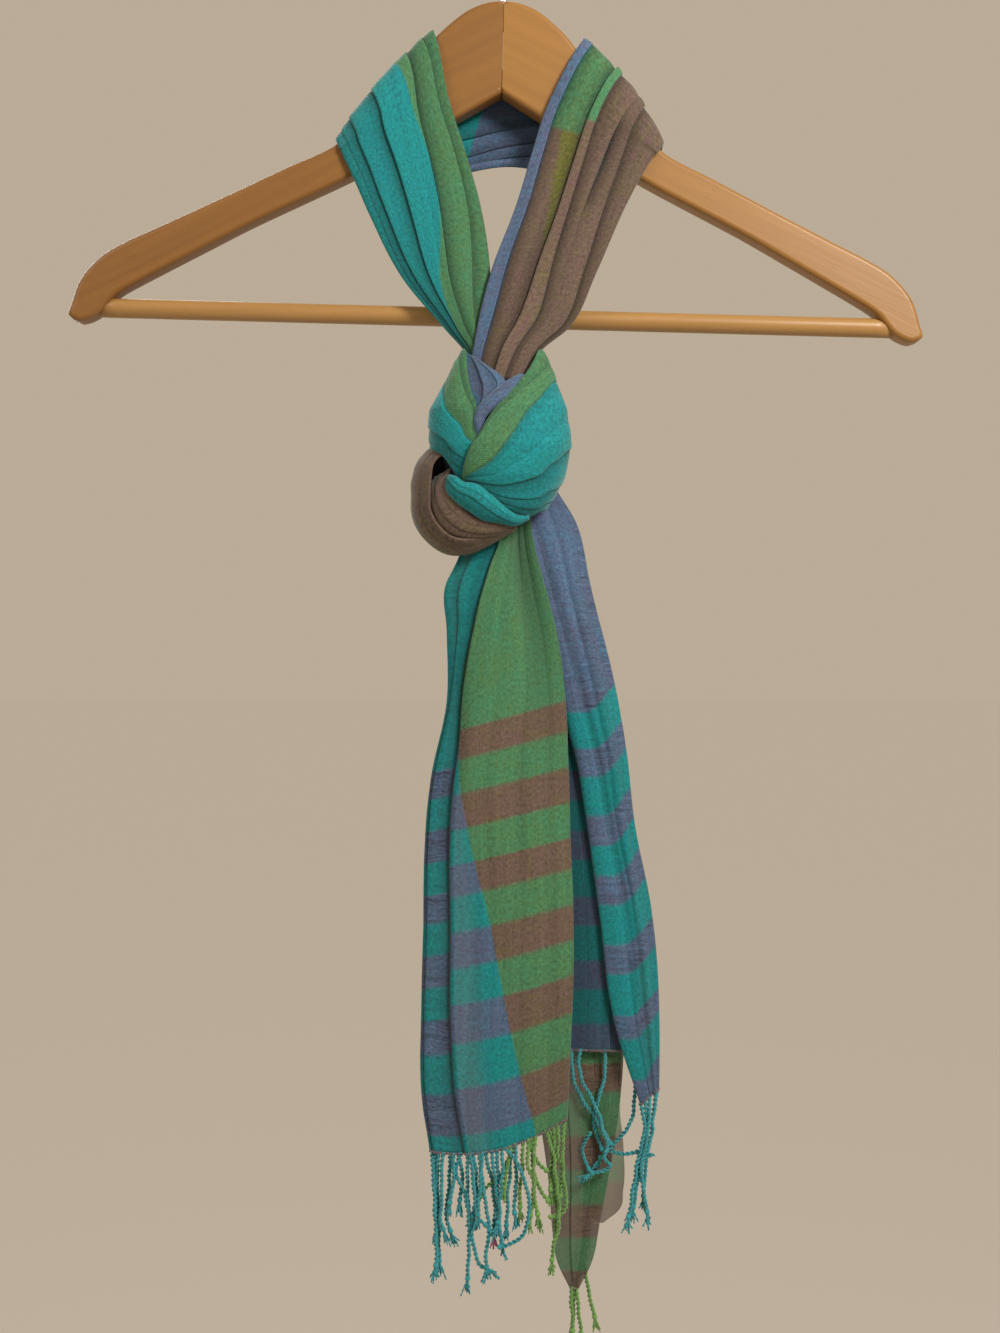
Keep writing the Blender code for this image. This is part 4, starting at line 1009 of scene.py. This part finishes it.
# each cord: yarn, yarn of its tuft (none where it ends inside the fringe), where it starts (x on the hem,
# or x and z), then steps sideways and down from there, in millimetres
# plain: where cords that hang plainly start, with lengths between shortest and longest
fringes = [
    {"name": "fringeFront", "hem": front, "node": "fringe_front", "slot": "fringe_teal", "seed": 5,
     "plain": {"teal": (-35, -27.5, -25, -17.5, -12.5, -5.5, -3, 1.5), "green": (8, 14.5, 23.5)},
     "shortest": 24, "longest": 44, "cords": [
         ("teal", "teal", -38.6, [(1.6, 29), (2.4, 58.2)]),
         ("teal", "teal", -37.0, [(1.6, 29), (2.0, 57.2)]),
         ("teal", "teal", -32.6, [(-1.1, 10), (-0.8, 21), (-1.6, 33), (0, 39)]),
         ("teal", "teal", -29.3, [(-0.3, 12), (-1.1, 24), (-2.2, 31), (0, 41)]),
         ("teal", "teal", -23.3, [(-3, 9), (1, 20), (4.4, 34), (6, 48), (9.2, 57), (12.5, 58.5)]),
         ("teal", "teal", -19.0, [(1.6, 12), (2.2, 21), (4.1, 32), (7.6, 36)]),
         ("teal", "teal", -20.2, [(-0.2, 17), (0.5, 33), (0.5, 50), (-0.2, 64.5)]),
         ("teal", "teal", -14.6, [(1.6, 12), (3.2, 24), (5.4, 39), (3.8, 50), (3.9, 58)]),
         ("teal", "pink", -11.4, [(2.2, 11), (4.3, 21), (5, 34), (4.3, 43)]),
         ("teal", "teal", -8.0, [(1, 10), (3.6, 30), (4.3, 43), (5.2, 48)]),
         ("teal", "", -1.6, [(6.5, 7.5), (11, 18.5), (12.6, 29), (11.7, 38), (8.5, 45), (1.6, 49),
                              (-2.2, 50)]),
         ("teal", "teal", 4.0, [(0.5, 20), (-0.5, 30), (0, 36)]),
         ("green", "green", 1.7, [(-2.2, 14), (-3.3, 21)]),
         ("green", "green", 4.4, [(-8.2, 17), (-15.8, 24), (-20, 32)]),
         ("green", "", 10.4, [(4.4, 11), (9.6, 16)]),
         ("green", "green", 10.9, [(-0.5, 13), (2.2, 21), (3.3, 32), (4.4, 38)]),
         ("green", "", 12.5, [(1, 19), (4.4, 27), (8.5, 33)]),
         ("green", "green", 19.6, [(4, 13), (5, 24), (6.5, 35), (6.5, 49), (3.6, 60), (3.3, 66)]),
         ("green", "", 21.3, [(2, 9), (1.6, 23), (3.8, 40), (3, 56)]),
         ("green", "", 25.6, [(0.5, 9), (0, 15), (2.4, 23), (1.6, 37)]),
         ("green", "", 29.3, [(-1, 15), (-0.6, 30), (0.9, 41), (-1.5, 48), (-7, 49.5)]),
     ]},
    {"name": "fringeRight", "hem": right, "node": "fringe_right", "slot": "fringe_teal", "seed": 9,
     "plain": {}, "shortest": 38, "longest": 62, "cords": [
         ("teal", "teal", 68.8, [(2, 13), (-1.3, 28), (-4.4, 46), (-6, 58)]),
         ("teal", "teal", 71.0, [(0.7, 12), (-2.4, 31), (-4.4, 47), (-6, 56)]),
         ("teal", "teal", 73.5, [(-0.8, 16), (-2.7, 27), (-4.7, 38), (-2.7, 52), (-1.6, 60)]),
         ("teal", "teal", 76.5, [(-0.9, 13), (-3.4, 31), (-5.3, 42), (-5.8, 55)]),
         ("teal", "", 77.6, [(-2.4, 16), (-3, 23), (-6.8, 36), (-9.2, 47)]),
     ]},
    {"name": "fringeInner", "hem": inner, "node": "fringe_inner", "slot": "fringe_teal", "seed": 14,
     "plain": {}, "shortest": 44, "longest": 62, "cords": [
         ("teal", "teal", 38.0, [(-1.1, 9), (2.2, 19), (8, 30), (12, 43), (13.6, 50), (12.3, 56), (14.9, 60),
                                 (11.6, 62.5), (6, 63.6)]),
         ("teal", "", 50.0, [(0.9, 6.6), (-0.3, 17.6), (-3, 27), (-4.7, 35), (-4, 44), (-0.3, 52)]),
         ("teal", "", 33.2, [(0.8, 14), (5, 25), (12.7, 36), (17.3, 44), (20.4, 48.7)]),
         ("teal", "", (43.0, -648.6), [(-3.4, 7), (-3.6, 13.5), (-0.3, 20)]),
         ("teal", "teal", (66.5, -624.5), [(-1, 13), (-3.6, 22), (-9, 28), (-13, 33), (-18, 37.7)]),
         ("teal", "teal", (54.0, -658.6), [(6, 0.9), (13, -0.2)]),
     ]},
    {"name": "fringeCorner", "hem": back, "node": "fringe_back", "slot": "fringe_green", "seed": 17,
     "plain": {}, "shortest": 16, "longest": 26, "cords": [
         ("green", "", 33.5, [(0, 9), (1, 22)]),
         ("green", "", 34.6, [(0.1, 10), (-0.8, 24)]),
         ("green", "", 36.2, [(0.9, 10), (2.3, 23)]),
         ("green", "green", (40.4, -720.0), [(1.4, 10), (4, 22.6), (5.4, 28)]),
     ]},
]


def cordTree(material, name, plyRadius, apart, knotted):
    # sweeps two plies, twisted round each other, along each curve, with a knot at its lower end
    tree = bpy.data.node_groups.new(name, "GeometryNodeTree")
    tree.interface.new_socket("Geometry", in_out="INPUT", socket_type="NodeSocketGeometry")
    for label, value in (("Ply Radius", plyRadius), ("Apart", apart), ("Twist", fringeCords["twist"]),
                         ("Step", fringeCords["step"] * mm), ("Knot Radius", fringeCords["knot"] * mm)):
        socket = tree.interface.new_socket(label, in_out="INPUT", socket_type="NodeSocketFloat")
        socket.default_value = value
    tree.interface.new_socket("Geometry", in_out="OUTPUT", socket_type="NodeSocketGeometry")
    given, end = tree.nodes.new("NodeGroupInput").outputs, tree.nodes.new("NodeGroupOutput")
    resample = newNode(tree, "GeometryNodeResampleCurve", mode="LENGTH")
    feed(resample, {"Curve": given["Geometry"], "Length": given["Step"]})
    line = resample.outputs["Curve"]
    along = newNode(tree, "GeometryNodeSplineParameter").outputs["Length"]
    tilt = newNode(tree, "GeometryNodeSetCurveTilt", {"Curve": line, "Tilt": times(along, given["Twist"])})
    both = newNode(tree, "GeometryNodeJoinGeometry")
    for side in (-1, 1):
        ply = newNode(tree, "GeometryNodeCurvePrimitiveCircle", {"Resolution": 6})
        feed(ply, {"Radius": given["Ply Radius"]})
        place = newNode(tree, "ShaderNodeCombineXYZ", {0: times(given["Apart"], side)})
        move = newNode(tree, "GeometryNodeTransform")
        feed(move, {"Geometry": ply.outputs["Curve"], "Translation": place.outputs[0]})
        feed(both, {0: move.outputs["Geometry"]})
    sweep = newNode(tree, "GeometryNodeCurveToMesh", {"Curve": tilt.outputs["Curve"]})
    feed(sweep, {"Profile Curve": both.outputs[0], "Fill Caps": True})
    whole = newNode(tree, "GeometryNodeJoinGeometry", {0: sweep.outputs["Mesh"]})
    if knotted:
        ends = newNode(tree, "GeometryNodeCurveEndpointSelection", {"Start Size": 0, "End Size": 1})
        ball = newNode(tree, "GeometryNodeMeshIcoSphere", {"Subdivisions": 2})
        feed(ball, {"Radius": given["Knot Radius"]})
        spots = newNode(tree, "GeometryNodeInstanceOnPoints", {"Points": line, "Selection": ends.outputs[0]})
        feed(spots, {"Instance": ball.outputs["Mesh"]})
        feed(whole, {0: spots.outputs["Instances"]})
    real = newNode(tree, "GeometryNodeRealizeInstances", {0: whole.outputs[0]})
    smooth = newNode(tree, "GeometryNodeSetShadeSmooth", {0: real.outputs[0]})
    finish = newNode(tree, "GeometryNodeSetMaterial", {"Geometry": smooth.outputs[0], "Material": material})
    feed(end, {"Geometry": finish.outputs[0]})
    return tree


def routesToMesh(name, routes, tree):
    curve = bpy.data.curves.new(name, "CURVE")
    curve.dimensions = "3D"
    for route in routes:
        spline = curve.splines.new("POLY")
        spline.points.add(len(route) - 1)
        points = np.concatenate([route * mm, np.ones((len(route), 1))], 1)
        spline.points.foreach_set("co", points.reshape(-1))
    thing = addObject(name, curve)
    modifier = thing.modifiers.new("Cords", "NODES")
    modifier.node_group = tree
    for item in tree.interface.items_tree:
        if item.in_out == "INPUT" and item.socket_type == "NodeSocketFloat":
            modifier[item.identifier] = item.default_value
    return plainMesh(thing)


def cordRoutes(fringe):  # every cord as yarn, route and tuft yarn
    random = np.random.default_rng(fringe["seed"])
    hem = fringe["hem"][0]
    hem = hem[np.argsort(hem[:, 0])]
    drawn = list(fringe["cords"])
    for yarn, places in fringe["plain"].items():
        for x in places:
            length = random.uniform(fringe["shortest"], fringe["longest"])
            lean = random.normal(0, fringeCords["lean"], 3)
            steps = [(lean[0] * 0.5, 0.3 * length), (lean[:2].sum() * 0.6, 0.65 * length),
                     (lean.sum() * 0.7, length)]
            drawn.append((yarn, yarn, x, steps))
    for k, (yarn, tuft, root, steps) in enumerate(drawn):
        x, z = root if isinstance(root, tuple) else (root, None)
        y, hemZ = (np.interp(x, hem[:, 0], hem[:, side]) for side in (1, 2))
        z = hemZ + fringeCords["above"] if z is None else z
        lift = fringeCords["stagger"] * (k * 3 % 5 - 2)
        t = np.linspace(0, 1, fringeCords["points"] * len(steps))
        turns = [[0.0] + [step[side] for step in steps] for side in (0, 1)]
        dx, dz = (np.array([shareAt(places, v) for v in t]) for places in turns)
        waver = random.uniform(*fringeCords["waver"])
        waver = waver * np.sin(random.uniform(0, 6.28) + dz * random.uniform(0.3, 0.6))
        ramp = np.minimum(1, np.arange(len(t)) / fringeCords["calmPoints"])
        route = np.stack([x + dx + ramp * waver, y + ramp * (lift + 1.2 * waver), z - dz], 1)
        yield yarn, route, tuft, random


def tuftHairs(route, random):  # loose fibres beyond the knot
    tip, way = route[-1], route[-1] - route[-4]
    way = way / np.linalg.norm(way) + (0, 0, -0.5)
    way /= np.linalg.norm(way)
    hairs = []
    for _ in range(fringeCords["hairs"]):
        spread = random.normal(0, fringeCords["hairSpread"], 3) * (1.2, 0.6, 0.4)
        curl = random.normal(0, fringeCords["hairCurl"], 3)
        reach = fringeCords["tuft"] * random.uniform(0.55, 1.0)
        s = np.linspace(0, 1, 6)[:, None]
        hairs.append(tip + reach * s * (way + spread + curl * s))
    return hairs


yarnColours = {  # pale and dark
    "teal": ((0.010, 0.29, 0.32, 1), (0.005, 0.16, 0.20, 1)),
    "green": ((0.14, 0.32, 0.055, 1), (0.07, 0.18, 0.04, 1)),
    "pink": ((0.42, 0.06, 0.20, 1), (0.20, 0.03, 0.12, 1)),
    "hem": ((0.15, 0.095, 0.12, 1), (0.07, 0.05, 0.07, 1)),
}
yarns = {tone: yarnMaterial(tone + "Yarn", *colours) for tone, colours in yarnColours.items()}
plyRadius, hairRadius = fringeCords["ply"] * mm, fringeCords["hair"] * mm
cordTrees = {tone: cordTree(yarns[tone], tone + "Cord", plyRadius, fringeCords["apart"] * plyRadius, True)
             for tone in ("teal", "green")}
tuftTrees = {tone: cordTree(yarns[tone], tone + "Tuft", hairRadius, hairRadius, False)
             for tone in ("teal", "green", "pink")}
hemTree = cordTree(yarns["hem"], "hemCord", fringeCords["hemPly"] * mm, fringeCords["hemApart"] * mm, False)


def joined(name, parts):
    # one plain mesh out of several, each with its own material
    points, faces, slots, materials = [], [], [], []
    for mesh in [part.data for part in parts]:
        base = sum(len(p) for p in points)
        co = np.empty(len(mesh.vertices) * 3)
        mesh.vertices.foreach_get("co", co)
        points.append(co.reshape(-1, 3))
        look = [m for m in mesh.materials if m][-1]
        if look not in materials:
            materials.append(look)
        number = materials.index(look)
        for face in mesh.polygons:
            faces.append([base + i for i in face.vertices])
            slots.append(number)
    whole = bpy.data.meshes.new(name)
    whole.from_pydata(np.concatenate(points).tolist(), [], faces)
    for material in materials:
        whole.materials.append(material)
    whole.polygons.foreach_set("material_index", slots)
    whole.polygons.foreach_set("use_smooth", [True] * len(faces))
    for part in parts:
        bpy.data.objects.remove(part)
    return addObject(name, whole)


for fringe in fringes:
    name, cordsBy, hairsBy = fringe["name"], {}, {}
    for yarn, route, tuft, random in cordRoutes(fringe):
        cordsBy.setdefault(yarn, []).append(route)
        if tuft:
            hairsBy.setdefault(tuft, []).extend(tuftHairs(route, random))
    parts = [routesToMesh(name + tone, routes, cordTrees[tone]) for tone, routes in cordsBy.items()]
    parts += [routesToMesh(name + tone + "Tuft", hairs, tuftTrees[tone]) for tone, hairs in hairsBy.items()]
    hem = fringe["hem"][0] + (0, -0.35, 0.2)
    parts.append(routesToMesh(name + "Hem", [hem], hemTree))
    cords = joined(name + "Cords", parts)
    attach(cords, "root")
    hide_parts(fringe["node"])
    print(f"{name}: {sum(map(len, cordsBy.values()))} cords, {len(cords.data.polygons)} faces")


# hanger

hanger = {
    "tilt": 1.5, "headTop": -60.0, "half": 6.5, "edge": 2.4, "edgeSteps": 6, "outlineStep": 3.0,
    "butt": 0.15, "barDrop": 164.6, "barRadius": 5.0, "barEnd": 209.0,
    "wire": 1.4, "hookRadius": 20.9, "hookStart": -62.0, "hookTip": 205.0, "shank": 14.0, "shankTop": -50.0,
    "hookBend": [(0.9, 0, -46.0), (2.4, 0, -43.4), (4.6, 0, -41.2), (7, 0, -39.5)],
    "arm": [
        (0, 0), (8, 1), (16, 4), (23, 8.5), (33, 17.5), (38, 23.6), (52, 39), (66, 54), (84, 76),
        (112, 90.5), (143, 106), (174, 121.2), (193.6, 130.6), (204.7, 137.2), (213.9, 146.2),
        (218.3, 153.7), (221.4, 164), (223, 169.7), (216.7, 172.7), (207.3, 168.5), (199, 159),
        (188, 152), (150, 131), (126, 118), (76, 93), (48, 77), (21.5, 61), (0, 48),
    ],
}
# the arms are one wood: the left arm's copy is darker as painted shade, the right arm's lighter as painted
# light
armLeftShadedWood = {"pale": (0.25, 0.114, 0.025, 1), "dark": (0.135, 0.057, 0.013, 1), "slope": 27.0}
armRightLitWood = {"pale": (0.32, 0.157, 0.036, 1), "dark": (0.19, 0.084, 0.019, 1), "slope": -27.0}
barWood = {"pale": (0.38, 0.212, 0.070, 1), "dark": (0.25, 0.125, 0.036, 1), "slope": 1.5}


def tilted(points):
    turn = math.radians(hanger["tilt"])
    x, y, z = np.asarray(points, float).T
    return np.stack([x * math.cos(turn) + z * math.sin(turn), y, z * math.cos(turn) - x * math.sin(turn)], 1)


def solidFrom(name, rings):
    # skins rings of points, each with the same count, closes both ends and turns the faces outward
    count = len(rings[0])
    points = np.concatenate(rings) * mm
    faces = [tuple(range(count)), tuple(range((len(rings) - 1) * count, len(rings) * count))]
    for k in range(len(rings) - 1):
        for j in range(count):
            p, q = k * count + j, k * count + (j + 1) % count
            faces.append((p, q, q + count, p + count))
    mesh = bpy.data.meshes.new(name)
    mesh.from_pydata(points.tolist(), [], faces)
    shape = bmesh.new()
    shape.from_mesh(mesh)
    bmesh.ops.recalc_face_normals(shape, faces=shape.faces)
    shape.to_mesh(mesh)
    shape.free()
    mesh.polygons.foreach_set("use_smooth", [True] * len(mesh.polygons))
    return addObject(name, mesh)


def roundedOutline(corners, sharp, step):
    # a smooth closed outline, straight only into its sharp corners
    path = np.array(corners, float)
    out = []
    for i in range(len(path) - 1):
        p0, p1, p2, p3 = path[max(i - 1, 0)], path[i], path[i + 1], path[min(i + 2, len(path) - 1)]
        m1 = (p2 - p1) if i in sharp else 0.5 * (p2 - p0)
        m2 = (p2 - p1) if i + 1 in sharp else 0.5 * (p3 - p1)
        reach = np.linalg.norm(p2 - p1)
        m1 *= min(1, reach / (np.linalg.norm(m1) + 1e-9))
        m2 *= min(1, reach / (np.linalg.norm(m2) + 1e-9))
        out += [curveAt(p1, p2, m1, m2, t) for t in np.arange(0, 1, step / max(reach, step))]
    return np.array(out + [path[-1]])


def makeArm(name, side, wood, node):
    outline = roundedOutline(hanger["arm"], {0, len(hanger["arm"]) - 1}, hanger["outlineStep"])
    flat = np.stack([side * np.maximum(outline[:, 0], hanger["butt"]), hanger["headTop"] - outline[:, 1]], 1)
    turn = np.roll(flat, -1, 0) - np.roll(flat, 1, 0)
    turn /= np.linalg.norm(turn, axis=1)[:, None] + 1e-9
    inward = side * np.stack([turn[:, 1], -turn[:, 0]], 1)
    inward[0], inward[-1] = (0, -1), (0, 1)
    rings = []
    edge, half = hanger["edge"], hanger["half"]
    rounding = np.linspace(0, 90, hanger["edgeSteps"])
    for face, angles in ((-1, rounding), (1, rounding[::-1])):
        for angle in np.radians(angles):
            ring = flat + inward * (edge * (1 - math.sin(angle)))
            depth = np.full(len(ring), face * (half - edge * (1 - math.cos(angle))))
            rings.append(tilted(np.stack([ring[:, 0], depth, ring[:, 1]], 1)))
    arm = solidFrom(name, rings)
    for face in arm.data.polygons:
        face.use_smooth = len(face.vertices) == 4
    arm.data.materials.append(woodMaterial(name + "Wood", **wood))
    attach(arm, "root")
    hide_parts(node)


def rod(name, path, radius, sides, roundTip=False):
    path = np.array(path, float)
    along = np.gradient(path, axis=0)
    along /= np.linalg.norm(along, axis=1)[:, None]
    across = np.stack([along[:, 2], np.zeros(len(path)), -along[:, 0]], 1)
    angles = np.arange(sides) * 2 * np.pi / sides
    ring = lambda at, side, size: at + size * (np.outer(np.cos(angles), side)
                                               + np.outer(np.sin(angles), (0, 1, 0)))
    rings = [ring(p, s, radius) for p, s in zip(path, across)]
    if roundTip:
        rings += [ring(path[-1] + along[-1] * radius * math.sin(b), across[-1], radius * math.cos(b))
                  for b in (0.5, 1.0, 1.35)]
    return solidFrom(name, [tilted(r) for r in rings])


makeKnotInside()
makeArm("armLeft", -1, armLeftShadedWood, "hanger_arm_left")
makeArm("armRight", 1, armRightLitWood, "hanger_arm_right")

barZ = hanger["headTop"] - hanger["barDrop"]
barPath = [(x, 0, barZ) for x in np.linspace(-hanger["barEnd"], hanger["barEnd"], 40)]
bar = rod("bar", barPath, hanger["barRadius"], 32)
bar.data.materials.append(woodMaterial("barWood", **barWood))
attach(bar, "root")
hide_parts("hanger_bar")

reach = hanger["hookRadius"]
hookMiddle = hanger["wire"] - reach
hookPath = [(0, 0, z) for z in np.linspace(hanger["headTop"] - hanger["shank"], hanger["shankTop"], 8)]
hookPath += hanger["hookBend"]
for angle in np.radians(np.linspace(hanger["hookStart"], hanger["hookTip"], 90)):
    hookPath.append((reach * math.cos(angle), 0, hookMiddle + reach * math.sin(angle)))
hook = rod("hook", hookPath, hanger["wire"], 16, roundTip=True)
hook.data.materials.append(chromeMaterial())
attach(hook, "root")
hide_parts("hanger_hook")
print("hanger: arms, bar and hook made")

# room, light and camera

room = {
    "floorZ": -2.4, "floorHalf": 90, "floorColour": (0.985, 0.985, 0.985, 1), "floorRoughness": 0.9,
    "skyColour": (0.60, 0.50, 0.38, 1), "skyStrength": 0.82, "eye": (-0.0037, -0.80, -0.4073), "lens": 41.16,
}
lamps = [  # name, place, aim, power, size, colour
    ("keyLamp", (0.58, -0.80, 0.24), (0, 0, -0.36), 15.5, 0.35, (1.0, 0.96, 0.90)),
    ("topLamp", (-0.75, -0.60, 0.30), (0, 0, -0.30), 3.0, 0.5, (1.0, 0.95, 0.88)),
    ("rimLamp", (-0.8, 1.3, 0.3), (0, 0, -0.35), 16.0, 0.9, (0.95, 0.97, 1.0)),
]

floor = addObject("floor", bpy.data.meshes.new("floor"))
half = room["floorHalf"]
corners = [(x, y, room["floorZ"]) for x, y in ((-half, -half), (half, -half), (half, half), (-half, half))]
floor.data.from_pydata(corners, [], [(0, 1, 2, 3)])
floorLook, _, floorShader = newMaterial("floorPlain")
feed(floorShader, {"Base Color": room["floorColour"], "Roughness": room["floorRoughness"]})
floor.data.materials.append(floorLook)

sky = bpy.data.worlds.new("sky")
sky.use_nodes = True
feed(sky.node_tree.nodes["Background"], {"Color": room["skyColour"], "Strength": room["skyStrength"]})
bpy.context.scene.world = sky

for name, place, aim, power, size, colour in lamps:
    lamp = bpy.data.lights.new(name, "AREA")
    lamp.energy, lamp.size, lamp.color = power, size, colour
    thing = addObject(name, lamp)
    thing.location = place
    thing.rotation_euler = (Vector(aim) - Vector(place)).to_track_quat("-Z", "Y").to_euler()

camera = addObject("camera", bpy.data.cameras.new("camera"))
camera.data.lens = room["lens"]
camera.location = room["eye"]
camera.rotation_euler = (math.radians(90), 0, 0)
bpy.context.scene.camera = camera
bpy.context.scene.view_settings.view_transform = "Standard"
print("room: floor, lamps and camera placed")
